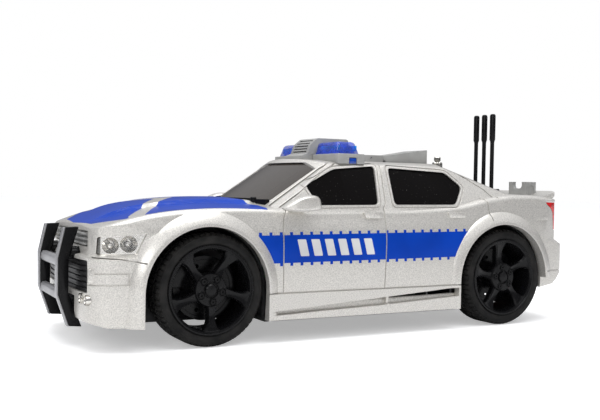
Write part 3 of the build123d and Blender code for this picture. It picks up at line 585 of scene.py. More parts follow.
BLUE_FILM = decal_film("blue_film", (0.0005, 0.045, 0.40))
SILVER_FILM = decal_film("silver_film", (0.66, 0.66, 0.66))
SCREEN_GLASS = glazing("smoked_screen", (0.05, 0.042, 0.035), 0.5)
BLUE_PRISM = tinted("blue_prism", (0.003, 0.26, 0.8), 1.0, 0.12, glow=0.12)
CLIP_BLUE = tinted("blue_clip", (0.001, 0.04, 0.3), 1.0, 0.15)
for part in frame["record"]["subparts"]:
    cad_mesh = frame["nodes"][part["node"]].data
    cad_mesh.materials.clear()
    cad_mesh.materials.append(SLOTS[part["material_slot"]])


# ---- outer shape of the body
def bonnet_rise(x):
    """Height of the bonnet's raised middle at x."""
    return BONNET_RISE * smooth((x - 44) / 8) * smooth((120 - x) / 14)


def half_section(x):
    """Left half of the tub's section at x, sill over shoulder to middle, as (y, z) points."""
    side, belt = line_at(SIDE_HALF, x), line_at(BELT_HALF, x)
    edge, top = line_at(TOP_EDGE, x), line_at(TOP_CENTRE, x)
    wall = [(4, side - 1.4), (SILL_Z, side - 1.0), (22, side), (34, side - 0.1),
            (46, (side + belt) / 2 + 0.4), (edge - SHOULDER_DROP, belt)]
    points = []
    for step in range(22):
        z = 4 + (edge - SHOULDER_DROP - 4) * step / 21
        points.append((line_at(wall, z), z))
    for step in range(1, 7):
        turn = math.pi / 2 * step / 6
        points.append((belt - SHOULDER_WIDTH * (1 - math.cos(turn)),
                       edge - SHOULDER_DROP + SHOULDER_DROP * math.sin(turn)))
    rise = bonnet_rise(x)
    bulge_half = 15 + 8 * (115 - x) / 58
    for step in range(1, 31):
        u = 1 - step / 30
        y = (belt - SHOULDER_WIDTH) * u
        lift = rise * smooth((bulge_half + 2.6 - y) / 2.6)
        points.append((y, edge + (top - rise - edge) * (1 - u * u) + lift))
    return points


def cabin_half(x):
    """Left half of the cabin's section at x: flat sides, rounded cant rail and crowned roof."""
    t = max(0.0, min(1.0, (-48 - x) / 64))
    side = [blend(a, b, t) for a, b in zip(CABIN_SIDE, TAIL_SIDE)]
    roof = [blend(a, b, t) for a, b in zip(CABIN_ROOF, TAIL_ROOF)]
    return side[:-1] + chain(roof, 8)


def inset_ring(x, half, inset):
    """Full section ring at x, moved inwards along its normals by inset."""
    loop = half + [(-y, z) for y, z in reversed(half[:-1])]
    made = []
    for index, (y, z) in enumerate(loop):
        before, after = loop[max(0, index - 1)], loop[min(len(loop) - 1, index + 1)]
        along = Vector((after[0] - before[0], after[1] - before[1])).normalized()
        made.append((x, y - along.y * inset, z + along.x * inset))
    return made


def plan_region(nose, tail, inset):
    points = [(70, 52)] + nose + [(x, -y) for x, y in reversed(nose) if y > 0] + [(70, -52), (-70, -52)]
    points += [(x, -y) for x, y in reversed(tail) if y > 0] + tail + [(-70, 52)]
    return grow(points, -inset)


def tub(inset):
    stations = [-126 + 2 * step for step in range(129)]
    body = skin([inset_ring(x, half_section(x), inset) for x in stations])
    upper, lower = plan_region(UPPER_NOSE, UPPER_TAIL, inset), plan_region(LOWER_NOSE, LOWER_TAIL, inset)
    ledge = LEDGE_Z - inset
    shelf = [[(x, y, ledge - 0.6) for x, y in lower], [(x, y, ledge + 1.0) for x, y in upper]]
    plan = prism(upper, "z", ledge - 4, 90)
    add(plan, prism(lower, "z", -5, ledge - 0.6 + 0.01))
    add(plan, skin(shelf))
    tail_low, tail_high = [p for p in lower if p[0] < -60], [p for p in upper if p[0] < -60]
    add(plan, skin([[(x, y, ledge - 2) for x, y in tail_low], [(x, y, ledge + 1.4) for x, y in tail_low],
                    [(x, y, ledge + 3.8) for x, y in tail_high]]))
    side = grow(SIDE_OUTLINE, -inset)
    profile = prism(side, "y", -OUT, OUT)
    if inset >= WALL:
        add(profile, slab(-98, 114, OUT, -5, 20), slab(-108, -98, OUT, 10, 30))
    return keep(body, plan, profile)


def leaning_prism(plan, lean, height):
    low = [(x, y, 50.0) for x, y in plan]
    high = [(x + lean * height, y, 50.0 + height) for x, y in plan]
    return skin([low, high])


def bow(x, half, reach):
    """Plan curve from (x, half) over (x + reach, 0) to (x, -half)."""
    return [(x + reach * (1 - t * t), half * t) for t in (1 - 2 * step / 20 for step in range(21))]


def cabin(inset):
    stations = [-104, -96, -88, -80, -72, -64, -56, -48, -30, -10, 10, 30, 50, 70]
    body = skin([inset_ring(x, cabin_half(x), inset) for x in stations])
    screen_shift = inset * math.hypot(*SCREEN_LEAN) / SCREEN_LEAN[1]
    light_shift = inset * math.hypot(*BACKLIGHT_LEAN) / BACKLIGHT_LEAN[1]
    front_x = 46.7 + 5.8 * SCREEN_LEAN[0] / SCREEN_LEAN[1] - screen_shift
    front = bow(front_x, 31, 9) + [(front_x - 14, -OUT), (-200, -OUT), (-200, OUT), (front_x - 14, OUT)]
    rear_x = -93.4 - 13.7 * BACKLIGHT_LEAN[0] / BACKLIGHT_LEAN[1] + light_shift
    rear = bow(rear_x, 20, -5.5) + [(rear_x + 14, -34), (rear_x + 30, -OUT), (300, -OUT), (300, OUT),
                                    (rear_x + 30, OUT), (rear_x + 14, 34)]
    front_cut = leaning_prism(front, -SCREEN_LEAN[0] / SCREEN_LEAN[1], 60)
    rear_cut = leaning_prism(rear, BACKLIGHT_LEAN[0] / BACKLIGHT_LEAN[1], 60)
    return keep(body, front_cut, rear_cut)


HULLS = {}


def hull(inset):
    """The whole outer form of the body, moved inwards by inset; a fresh copy each time."""
    if inset not in HULLS:
        HULLS[inset] = add(tub(inset), cabin(inset))
    return copy_of(HULLS[inset])


def layer(outer, inner, tool):
    """The part of the body's skin between two insets that lies inside a tool shape."""
    return cut(keep(hull(outer), tool), hull(inner))


def arch_opening(x):
    """Half round opening over straight sides down to the ground."""
    top = arc((x, ARCH_Z), ARCH_R, 0, 180, 48)
    return prism(top + [(x - ARCH_R, 0), (x + ARCH_R, 0)], "y", 24, OUT)


def flare(x, rear_leg):
    """Flared lip swept round one wheel arch, down its front side and, with rear_leg, its rear one."""
    profile = [(-0.8, 41.0), (-0.8, 46.2), (-0.4, FLARE_Y), (1.0, FLARE_Y), (1.5, 46.35), (4.4, 45.05),
               (6.4, 42.6), (6.4, 41.0)]
    stops = [(0.0, SILL_Z + (ARCH_Z - SILL_Z) * step / 4) for step in range(4)]
    stops += [(math.pi * step / 56, ARCH_Z) for step in range(57)]
    if rear_leg:
        stops += [(math.pi, ARCH_Z - (ARCH_Z - SILL_Z) * step / 4) for step in range(1, 5)]
    rings = []
    for angle, z in stops:
        ring = []
        for reach, y in profile:
            radius = ARCH_R + reach
            ring.append((x + radius * math.cos(angle), y, z + radius * math.sin(angle)))
        rings.append(ring)
    return skin(rings)


SEAMS = [
    [(41.6, 54.6), (43.2, 51.5), (43.9, 46), (44.0, 20.7)],
    [(-11.0, 76.4), (-10.2, 70), (-8.6, 57.4), (-7.2, 55.8), (-6.7, 40), (-5.8, 20.7)],
    [(-63.6, 60.6), (-65.0, 58.6), (-65.9, 50.0)],
    [(51.5, 20.6), (-47.2, 20.6)],
    [(-46.5, 75.2), (-58.1, 70), (-67.5, 64.8), (-72.6, 60.4)],
    [(121, 36.4), (111.9, 36.0), (102.2, 34.2)],
    [(-100, 25.2), (-120, 25.0)],
]
PILLAR_SEAMS = [[(46, 55.6), (20.6, 72.6), (15.6, 75.4)], [(43.2, 55.6), (18.2, 72.2), (12.0, 75.2)]]
SEAM_WIDTH = 0.42


def seam_cutters():
    cutters = [prism(ribbon(points, SEAM_WIDTH), "y", 20, OUT) for points in SEAMS]
    cutters += [prism(ribbon(points, SEAM_WIDTH), "y", 29.6, OUT) for points in PILLAR_SEAMS]
    for outline in SIDE_WINDOWS:
        ring = prism(rounded(grow(outline, 2.3), 2.6), "y", 26, OUT)
        cutters.append(cut(ring, prism(rounded(grow(outline, 1.95), 2.4), "y", 25, 61)))
    cutters.append(cut(box(108.2, 130, 36.2, 60, 25.9, 30.8), box(108.8, 131, 36.0, 61, 26.5, 30.2)))
    return [both_sides(cutter) for cutter in cutters]


def sill_parts():
    """Rocker panel over a tapering scoop, and the strip under it."""
    rocker = prism([(51.2, 20.3), (51.2, 12.9), (-46.7, 19.6), (-46.7, 20.3)], "y", 41, 45.8)
    strip = prism([(51.2, 11.3), (51.2, SILL_Z), (-46.7, SILL_Z), (-46.7, 15.4)], "y", 41, 45.7)
    return [both_sides(rocker), both_sides(strip)]


def scoop_cutters():
    front = prism([(46, 13.0), (46, 11.7), (-7.0, 13.4), (-7.0, 16.6)], "y", 43.1, OUT)
    rear = prism([(-8.2, 16.7), (-8.2, 13.5), (-45.9, 15.4), (-45.9, 19.3)], "y", 43.1, OUT)
    return [both_sides(front), both_sides(rear)]


def handle(front, rear):
    outline = rounded([(front, 53.9), (front - 1.2, 51.3), (rear, 51.3), (rear, 53.9)], 0.5, 3)
    plate = prism(outline, "y", 40, 43.45)
    return both_sides(soften(plate, 0.25))


def spoiler():
    outline = [(-103, 61.2), (-113.6, 64.6), (-113.0, 62.6), (-110, 60.6)]
    lip = prism(outline, "y", -38, 38)
    return keep(lip, prism(plan_region(UPPER_NOSE, UPPER_TAIL, 0), "z", 0, 80))


def window_tools(shrink):
    tools = [prism(grow(SCREEN_OPENING, -shrink), "z", 58.6, 75.4),
             prism(grow(BACKLIGHT_OPENING, -shrink), "z", 64.6, 76)]
    for outline in SIDE_WINDOWS:
        tools.append(both_sides(prism(rounded(grow(outline, 0.9 - shrink), 2.0), "y", 25, OUT)))
    return tools


def lamp_tool(outline, y_low, amount):
    return both_sides(prism(rounded(grow(outline, amount), 0.6, 3), "y", y_low, OUT))


def intake_tool(gap):
    half = INTAKE_HALF + gap
    outline = rounded([(-half, 22.9 - gap), (half, 22.9 - gap), (half, 35.1 + gap), (-half, 35.1 + gap)], 1.0)
    return prism(outline, "x", 118, 132)


def body_shell():
    outer = hull(0)
    for x in ARCH_X:
        add(outer, both_sides(flare(x, rear_leg=x > 0)))
    add(outer, *sill_parts(), handle(4.4, -5.2), handle(-41.2, -51.2))
    cut(outer, *seam_cutters())
    add(outer, hull(SEAM_DEPTH))
    add(outer, spoiler(), both_sides(soften(box(119, 122.7, 36.9, 38.8, 26.7, 32.3), 0.3)))
    cut(outer, *scoop_cutters())
    cut(outer, hull(WALL))
    for x in ARCH_X:
        cut(outer, both_sides(arch_opening(x)))
    cut(outer, slab(-101, -95, OUT, 5, 17.1), *window_tools(0.0))
    cut(outer, lamp_tool(HEADLIGHT, 27.4, 0.15), lamp_tool(TAIL_LAMP, 23.8, 0.15))
    for y, z, x in FOG_SPOTS:
        cut(outer, both_sides(rod("x", (0, y, z), 2.05, x - 6, x + 4)))
    cut(outer, intake_tool(0.1), slab(119, 130, 22.5, 5, 20.6))
    cut(outer, box(118, 130, -GRILLE_HALF - 0.1, GRILLE_HALF + 0.1, 39.9, 46))
    for z, radius, _ in POSTS:
        cut(outer, both_sides(rod("x", (0, POST_Y, z), radius + 0.05, 112, 130)))
    cut(outer, prism(plan_pair(HORN_SLOT), "z", 70, 80))
    cut(outer, slab(ANTENNA_X - 3.3, ANTENNA_X + 3.3, 9.6, 58, 70))
    place(outer, "body", "silver_plastic", "body_shell")


def glass_panes():
    liner = layer(WALL + 0.12, WALL + 1.3, slab(-93, 80, OUT, 56.4, 80))
    cut(liner, slab(-61, 14, 24, 60, 80))
    front, rear, doors, quarters = [layer(0.75, WALL + 0.6, tool) for tool in window_tools(0.12)]
    screens = joined([front, rear])
    sides = joined([doors, quarters, liner])
    place(sides, "side_windows", "black_glazing", "window_insert")
    place(screens, "screens", "black_glazing", "window_insert", material=SCREEN_GLASS)


# ---- decals
BAND = [(60, 44.3), (-60, 45.2), (-60, 33.6), (60, 32.8)]
TEETH = 24
FIRST_TOOTH_X = 54.5
TOOTH_PITCH = 4.75
TOOTH = 1.35
MARKS = 6
MARK_PITCH = 6.5


def film(outline_tool, *cutters):
    """Thin film lying on the body inside a tool shape."""
    return cut(layer(-0.05, 0.3, outline_tool), *cutters)


def side_band():
    """Blue band with square teeth along both edges, cut by the wheel arches and the door seams."""
    band = prism(BAND, "y", 30, OUT)
    for x in row(FIRST_TOOTH_X, -TOOTH_PITCH, TEETH):
        t = (60 - x) / 120
        top, low = 44.3 + 0.9 * t, 32.8 + 0.8 * t
        add(band, box(x - TOOTH / 2, x + TOOTH / 2, 30, OUT, top - 0.5, top + 1.2))
        add(band, box(x - TOOTH / 2, x + TOOTH / 2, 30, OUT, low - 1.2, low + 0.5))
    for x in ARCH_X:
        cut(band, rod("y", (x, 0, ARCH_Z), 30.6, 20, 70, 0.2, 96))
    seams = [prism(ribbon(SEAMS[index], SEAM_WIDTH + 0.1), "y", 20, 62) for index in (0, 1)]
    made = film(band, *seams)
    place(both_sides(made), "side_bands", "silver_plastic", material=BLUE_FILM)


def side_marks():
    """Six slanted bars where the maker prints a word."""
    bars = []
    for x in row(37.6, -MARK_PITCH, MARKS):
        outline = rounded([(x, 42.6), (x - 4.0, 42.6), (x - 5.6, 35.6), (x - 1.6, 35.6)], 0.4, 3)
        bars.append(prism(outline, "y", 30, OUT))
    made = layer(-0.12, 0.1, joined(bars))
    place(both_sides(made), "side_marks", "silver_plastic", material=SILVER_FILM)


def bonnet_film():
    """Blue film over the bonnet, crossed by a bare chevron."""
    edge = [(50, 41.5), (82, 41.0), (99, 39.6), (108.5, 36.5), (117.5, 22), (119.6, 0)]
    plan = prism(plan_pair(edge), "z", 47.6, 61)
    screen = bow(47.6, 37, 9.5)
    cut(plan, prism(screen + [(20, -OUT), (20, OUT)], "z", 40, 70))
    chevron = [(76, 0), (85, 0), (98, 22), (106, 33), (109, 44), (104, 44), (93, 24)]
    made = film(plan, both_sides(prism(chevron, "z", 40, 70)))
    place(made, "bonnet_decal", "silver_plastic", material=BLUE_FILM)


# ---- lamps and grille
def headlights():
    lens = layer(0.15, 0.9, lamp_tool(HEADLIGHT, 27.6, -0.2))
    place(lens, "headlight_lenses", "clear_lens", "headlight_lens_left", "headlight_lens_right")
    seat = keep(hull(1.3), lamp_tool(HEADLIGHT, 32, 0.6))
    for x, z in ((107.6, 41.4), (114.3, 40.8)):
        bowl = [(BORE, 34.0), (2.2, 34.6), (3.1, 37.0), (3.3, 46.0), (BORE, 46.0)]
        cut(seat, both_sides(lathe(bowl, "y", (x, 0, z), 40)))
        bulb = [(BORE, 33.8), (1.2, 33.8), (1.2, 37.6), (0.9, 38.4), (BORE, 38.8)]
        add(seat, both_sides(lathe(bulb, "y", (x, 0, z), 24)))
    place(seat, "headlight_bowls", "chromed_reflector", "headlight_reflectors")


def tail_lamps():
    lamp = layer(0.12, 1.3, lamp_tool(TAIL_LAMP, 24.1, -0.2))
    for z in row(46.5, 2.4, 5):
        cut(lamp, both_sides(box(-119, -109.4, 24, 30, z, z + 0.4)))
    place(lamp, "tail_lamps", "red_lens", "tail_lamp_left", "tail_lamp_right")


def fog_lamps():
    lamps = []
    for y, z, x in FOG_SPOTS:
        bowl = [(BORE, x - 3.6), (1.95, x - 3.6), (1.95, x + 0.35), (1.5, x + 0.35), (1.2, x - 1.0),
                (0.5, x - 1.6), (BORE, x - 1.6)]
        bulb = [(BORE, x - 2.0), (0.55, x - 2.0), (0.55, x - 0.5), (0.3, x - 0.1), (BORE, x)]
        lamps += [lathe(bowl, "x", (0, y, z), 32), lathe(bulb, "x", (0, y, z), 16)]
    place(both_sides(joined(lamps)), "fog_lamp_bowls", "chromed_reflector", "fog_lamps")


def grille():
    frame_plate = soften(slab(118.6, 119.6, GRILLE_HALF, 40.0, 45.9), 0.2)
    slats = []
    for z in row(40.5, 1.95, 3):
        outline = [(118.8, z), (121.0, z - 0.1), (121.3, z + 0.35), (121.0, z + 0.8), (118.8, z + 0.9)]
        slats.append(prism(outline, "y", -GRILLE_HALF + 2.6, GRILLE_HALF - 2.6))
    place(joined([frame_plate] + slats), "grille_slats", "grey_trim", "grille")
    panel = layer(0.9, WALL + 0.4, intake_tool(-0.05))
    for z in row(24.3, 2.1, 5):
        cut(panel, slab(110, 130, 34.4, z, z + 0.9))
    ribs = layer(1.5, WALL + 0.6, intake_tool(-0.3))
    place(add(panel, ribs), "intake_panel", "black_trim", "grille")


# ---- push bar
def push_bar():
    plate = prism([(x - GUARD_SKIN, z) for x, z in GUARD_FRONT] + GUARD_REAR[::-1], "y", *GUARD_Y)
    soften(plate, 0.3)
    far = mirrored(plate)
    place(plate, "guard_plate_left", "black_trim", "push_bar_upright_left")
    place(far, "guard_plate_right", "black_trim", "push_bar_upright_right")
    front = prism(GUARD_FRONT + [(x - GUARD_SKIN, z) for x, z in reversed(GUARD_FRONT)], "y", *GUARD_Y)
    soften(front, 0.22)
    place(both_sides(front), "guard_fronts", "silver_trim", "push_bar_fronts")
    rails = []
    for z in RAIL_HEIGHTS:
        outline = [(127.2, z), (128.8, z), (129.6, z + 0.9), (129.6, z + 3.3), (128.8, z + 4.2),
                   (127.2, z + 4.2)]
        rails.append(soften(prism(outline, "y", -GUARD_Y[0], GUARD_Y[0]), 0.2))
    place(joined(rails), "guard_rails", "silver_trim", "push_bar_rails")
    posts = []
    for z, radius, x in POSTS:
        levels = [(BORE, x), (radius, x), (radius, 121.4), (radius - 0.45, 121.6), (radius - 0.45, 122.1),
                  (radius, 122.3), (radius, 125.2), (BORE, 125.2)]
        posts.append(lathe(levels, "x", (0, POST_Y, z), 80, flutes=10, depth=0.1))
    gap = prism(GUARD_REAR + [(140, 7.5), (140, 47.2)], "y", 10, 30)
    posts = [cut(post, copy_of(gap)) for post in posts]
    bpy.data.objects.remove(gap)
    place(both_sides(joined(posts)), "guard_posts", "black_trim", "push_bar_posts")


# ---- roof and boot fittings
def light_bar():
    base = prism(rounded([(-3, -32), (11.5, -32), (11.5, 32), (-3, 32)], 1.6), "z", 75, BAR_TOP)
    cut(base, both_sides(box(1.5, 5.5, 30.8, 33, 70, 77.9)))
    soften(base, 0.35)
    cut(base, hull(SEATED))
    place(base, "bar_base", "grey_trim", "light_bar_base")
    clips = both_sides(soften(box(1.7, 5.3, 30.6, 31.7, 75.2, 77.7), 0.2))
    line = slab(-2.2, 10.6, 30.5, 75.0, 76.9)
    cut(line, hull(SEATED))
    place(joined([clips, line]), "bar_clips", "blue_lens", material=CLIP_BLUE)
    for side, name, node in ((1, "bar_lens_left", "light_bar_lens_left"),
                             (-1, "bar_lens_right", "light_bar_lens_right")):
        lens = cut(lens_block(0.0), lens_block(1.1), box(*LAMP_BOARD))
        prisms = lens_prisms()
        if side < 0:
            lens, prisms = flipped(lens), flipped(prisms)
        place(lens, name, "blue_lens", node)
        place(prisms, name + "_prisms", "blue_lens", material=BLUE_PRISM)


def flipped(obj):
    twin = mirrored(obj)
    bpy.data.objects.remove(obj)
    return twin


def lens_block(inset):
    """One half of the light bar's lens: tapered, with rounded corners and top edge."""
    rings = []
    foot = BAR_TOP - 0.1 if inset else BAR_TOP
    for level, shrink in ((foot, 0.0), (84.2, 0.82), (84.9, 1.2), (85.2, 2.0)):
        rise = (level - BAR_TOP) / 5.6
        extra = inset + (shrink - 0.82 if level > 84.5 else 0)
        half_x, half_y = 6.25 - 1.6 * rise - extra, 9.85 - 0.85 * rise - extra
        middle = 18.65 - 0.85 * rise
        outline = rounded([(4.25 - half_x, middle - half_y), (4.25 + half_x, middle - half_y),
                           (4.25 + half_x, middle + half_y), (4.25 - half_x, middle + half_y)], 1.6)
        top = level - inset * (level > 84)
        rings.append([(x, y, top) for x, y in outline])
    return skin(rings)


def lens_prisms():
    """Row of upright prisms along the inside of the lens, above the lamp board."""
    bars = []
    for y in row(10.9, 2.5, 7):
        for x, reach in ((8.5, -1.1), (-0.6, 1.1)):
            outline = [(x, y), (x + reach, y + 1.0), (x, y + 2.0)]
            bars.append(prism(outline, "z", 80.9, 83.4))
    return joined(bars)


def siren_cover():
    outline = [(-9, BAR_TOP), (-7.6, 87.0), (-6.8, 87.4), (9, 87.4), (12.6, 84.4), (14.4, BAR_TOP)]
    cover = soften(prism(rounded(outline, 0.7, 3), "y", -8.7, 8.7), 0.3)
    for y in row(-6.8, 3.4, 5):
        cut(cover, box(-6.4, 8.4, y - 0.5, y + 0.5, 86.8, 88))
    for z in row(80.8, 1.3, 5):
        cut(cover, slab(9, 20, 6.6, z, z + 0.5))
    cut(cover, prism([(-7.8, 79.5), (-6.6, 86.0), (8.0, 86.0), (9.6, 83.8), (10.6, 79.5)], "y", -7.6, 7.6))
    cut(cover, box(*LAMP_BOARD))
    outline = [(11.6, 76.0), (18.2, 75.9), (17.6, 79.0), (14.4, 80.2), (11.6, 80.2)]
    nose = soften(prism(outline, "y", -8.7, 8.7), 0.3)
    cut(nose, hull(SEATED))
    place(add(cover, nose), "siren_housing", "grey_trim", "siren_cover")


def horn_key():
    block = slab(-29.5, -18.4, 6, 75, 80.6)
    cut(block, slab(-29.6, -20.0, 4.1, 77.9, 82))
    soften(block, 0.2)
    cut(block, rod("y", KEY_PIVOT, 0.6, -7, 7, 0.1, 24), hull(SEATED))
    place(block, "key_bracket", "grey_trim", "horn_bracket")
    profile = [(-30.2, 78.2), (-30.2, 80.4), (-53, 83.9), (-53, 76.0), (-32.0, 76.0), (-32.0, 78.2)]
    horn = keep(prism(profile, "y", -12, 12), prism(plan_pair(HORN_PLAN), "z", 70, 90))
    for index in range(4):
        x = -50.6 + 2.4 * index
        cut(horn, slab(x - 0.35, x + 0.35, 9, 83.1 - 0.36 * index, 86))
    soften(horn, 0.18)
    tongue = add(box(-30.6, KEY_PIVOT[0], -3.8, 3.8, 78.2, 80.2),
                 rod("y", KEY_PIVOT, 1.0, -3.8, 3.8, 0.1, 32))
    add(horn, tongue)
    cut(horn, rod("y", KEY_PIVOT, 0.65, -5, 5, 0.05, 24))
    place(horn, "key", "grey_trim", "horn_key", body="horn_key")


def roof_knob():
    steps = [(BORE, 75.5), (2.75, 75.5), (2.75, 77.9), (2.45, 78.4), (1.3, 78.5), (1.3, 79.0), (1.75, 79.2),
             (1.75, 80.8), (1.4, 81.2), (BORE, 81.2)]
    knob = lathe(steps, "z", (KNOB_X, 0, 0), 60, flutes=10, depth=0.08)
    cut(knob, hull(SEATED))
    place(knob, "knob", "chromed_knob", "roof_knob", sharp=20)


def antennas():
    base = soften(slab(ANTENNA_X - 3.2, ANTENNA_X + 3.2, 9.5, 60.6, 65.2), 0.4)
    place(base, "aerial_foot", "black_trim", "antenna_base")
    whips = []
    for y in (-6.5, 0.0, 6.5):
        steps = [(BORE, 65.2), (1.05, 65.2), (1.05, 89.4), (1.15, 90.2), (1.5, 91.2), (1.5, 103.6),
                 (1.3, 104.3), (0.8, 104.65), (BORE, 104.7)]
        whips.append(lathe(steps, "z", (ANTENNA_X, y, 0), 32))
    place(joined(whips), "aerials", "black_trim", "antennas")


def boot_brackets():
    block = box(-110.2, -103.6, 13.5, 26.5, 58, 69)
    cut(block, box(-110.4, -105.6, 13.3, 24.2, 64.8, 70))
    notch = rounded([(16.6, 70), (16.6, 65.6), (23.2, 65.6), (23.2, 70)], 2.6)
    cut(block, prism(notch, "x", -112, -103))
    arch = arc((-107.0, 65.2), 1.9, 0, 180, 12)
    cut(block, prism(arch + [(-108.9, 60), (-105.1, 60)], "y", 26.1, 28))
    soften(block, 0.2)
    cut(block, hull(SEATED))
    place(both_sides(block), "boot_bracket_pair", "grey_trim", "boot_brackets")


def mirrors():
    side = chain([(46.4, 55.6), (42.6, 58.2), (37.5, 60.5), (32.0, 61.0), (29.4, 59.9), (28.4, 57.2),
                  (28.9, 55.0), (34, 54.3), (41, 54.3), (45.4, 54.8)], 3)
    middle = (36.8, 57.6)
    rings = []
    for y, scale in ((43.8, 0.62), (44.3, 0.82), (45.2, 0.94), (46.8, 1.0), (48.4, 0.97), (49.4, 0.86),
                     (49.95, 0.66)):
        rings.append([at("y", blend(middle, point, scale), y) for point in side])
    head = skin(rings)
    stalk = soften(prism([(40.6, 54.0), (33, 54.0), (34.5, 57.4), (39.6, 57.0)], "y", 40.5, 45.5), 0.3)
    add(head, stalk)
    cut(head, hull(-0.01))
    far = mirrored(head)
    place(head, "door_mirror_left", "silver_plastic", "mirror_left")
    place(far, "door_mirror_right", "silver_plastic", "mirror_right")


def cowl():
    """Black scuttle strip under the windscreen, with two wiper arms."""
    front = bow(45.6, 31, 9.4)
    back = bow(43.6, 31, 9.2)
    strip = prism(front + back[::-1], "z", 56.2, 58.9)
    cut(strip, hull(0.05))
    keep(strip, slab(30, 60, 30.4, 50, 60))
    arms = [strip]
    for y0, y1 in ((24.5, -3.0), (-1.0, -26.5)):
        x0, x1 = 45.4 + 9 * (1 - (y0 / 31) ** 2), 44.4 + 9 * (1 - (y1 / 31) ** 2)
        arm = prism(ribbon([(x0, y0), ((x0 + x1) / 2 + 0.8, (y0 + y1) / 2), (x1, y1)], 0.8), "z", 58.4, 59.3)
        arms += [soften(arm, 0.15), rod("z", (x0, y0, 0), 1.3, 57.4, 59.8, 0.3, 24)]
    place(joined(arms), "scuttle_and_wipers", "black_trim")


# ---- wheels
TREAD_BLOCKS = 60
TYRE_Y = 36.0
SPOKES = 5
NUT_CIRCLE = 4.75
DISC_HOLES = 10
SPOKE_STARTS = {"front": (47, 61), "rear": (79, 20)}  # first spoke of the left and right wheel, degrees


def tyre(x):
    """Tyre with grooved tread and shoulder blocks."""
    half = [(17.6, 42.9, 0), (18.1, 42.9, 0), (18.2, 43.4, 0), (18.7, 43.8, 0), (19.6, 44.0, 0),
            (20.6, 43.95, 0), (21.15, 43.75, 0), (21.3, 43.85, 0), (21.5, 43.8, 0), (21.7, 43.5, 0),
            (22.0, 43.2, 0.3), (22.35, 42.8, 0.5), (22.7, 42.1, 0.6), (22.85, 41.2, 0.6),
            (22.85, 40.1, 0.6), (22.8, 39.85, 0),
            (22.0, 39.7, 0), (22.0, 39.2, 0), (22.85, 39.0, 0), (22.85, 37.2, 0.6), (22.85, 36.4, 0.6),
            (22.0, 36.3, 0), (22.0, 35.7, 0)]  # radius, y, depth of the gaps between blocks
    profile = half + [(r, 2 * TYRE_Y - y, d) for r, y, d in reversed(half)]
    rings = []
    per_block = 8
    total = TREAD_BLOCKS * per_block
    for step in range(total):
        angle = 2 * math.pi * step / total
        ring = []
        for radius, y, depth in profile:
            phase = (step / per_block + (y - TYRE_Y) * 0.06) % 1
            reach = radius - depth if phase < 0.24 else radius
            ring.append((x + reach * math.cos(angle), y, TYRE_R + reach * math.sin(angle)))
        rings.append(ring)
    return skin(rings, loop=True)


def spoke(angle):
    """One waisted spoke: flared where it meets the rim, crowned across its face."""
    rings = []
    for radius, half, face in ((2.5, 2.6, 42.6), (5.0, 2.5, 42.7), (7.0, 2.0, 42.3), (9.0, 1.65, 41.9),
                               (11.0, 1.6, 42.0), (13.0, 1.85, 42.5), (14.8, 2.6, 43.1), (16.2, 3.7, 43.5),
                               (16.9, 4.5, 43.5)):
        edge = [(-half, face - 3.4), (-half, face - 0.9), (-half * 0.72, face - 0.1),
                (-half * 0.3, face - 0.25)]
        section = edge + [(-across, y) for across, y in reversed(edge)]
        lean = math.radians(angle + 5 * smooth((radius - 5) / 12))
        c, s = math.cos(lean), math.sin(lean)
        rings.append([(radius * c - across * s, y, radius * s + across * c) for across, y in section])
    return skin(rings)


def rim(x, start):
    barrel = [(16.2, 28.0), (17.6, 28.0), (17.6, 42.9), (18.1, 42.9), (18.1, 43.7), (17.9, 43.95),
              (17.3, 43.95), (17.1, 43.6), (16.7, 43.5), (16.5, 43.1), (16.2, 42.4)]
    wheel = lathe(barrel, "y", (0, 0, 0), 120)
    hub = [(BORE, 28.0), (3.0, 28.0), (3.0, 37.5), (6.6, 37.8), (6.9, 42.0), (6.4, 42.9), (3.3, 43.0),
           (3.1, 42.4), (2.6, 42.4), (2.45, 43.3), (1.9, 43.75), (BORE, 43.85)]
    middle = lathe(hub, "y", (0, 0, 0), 60)
    for angle in row(start, 360 / SPOKES, SPOKES):
        add(middle, spoke(angle))
    add(wheel, middle)
    nuts = []
    for x_nut, z_nut in arc((0, 0), NUT_CIRCLE, start, start + 360, SPOKES)[:-1]:
        centre = (x_nut, 0, z_nut)
        collar = [(1.35, 42.3), (1.75, 42.4), (1.75, 43.0), (1.5, 43.25), (1.35, 43.0)]
        nut = [(0.5, 42.2), (1.2, 42.2), (1.2, 43.5), (1.05, 43.7), (0.55, 43.7), (0.5, 43.4)]
        nuts += [lathe(collar, "y", centre, 30), lathe(nut, "y", centre, 6)]
    add(wheel, joined(nuts))
    cut(wheel, rod("y", (0, 0, 0), 1.5, 20, 41, 0.1, 40))
    return on_axle(wheel, x)


def brake(x):
    disc = [(3.0, 33.0), (6.0, 32.6), (6.0, 33.4), (13.0, 33.4), (13.2, 33.6), (13.2, 34.2), (13.0, 34.4),
            (11.6, 34.4), (11.5, 34.15), (7.2, 34.15), (7.1, 34.4), (6.0, 34.4), (5.8, 35.6), (3.0, 35.6)]
    made = lathe(disc, "y", (0, 0, 0), 90)
    for x_hole, z_hole in arc((0, 0), 9.3, 0, 360, DISC_HOLES)[:-1]:
        cut(made, rod("y", (x_hole, 0, z_hole), 0.8, 30, 38, 0.1, 20))
    pad = arc((0, 0), 9.2, 2, 46, 8) + arc((0, 0), 15.0, 46, 2, 8)
    caliper = soften(prism(pad, "y", 32.6, 36.2), 0.5)
    add(made, caliper)
    return on_axle(made, x)


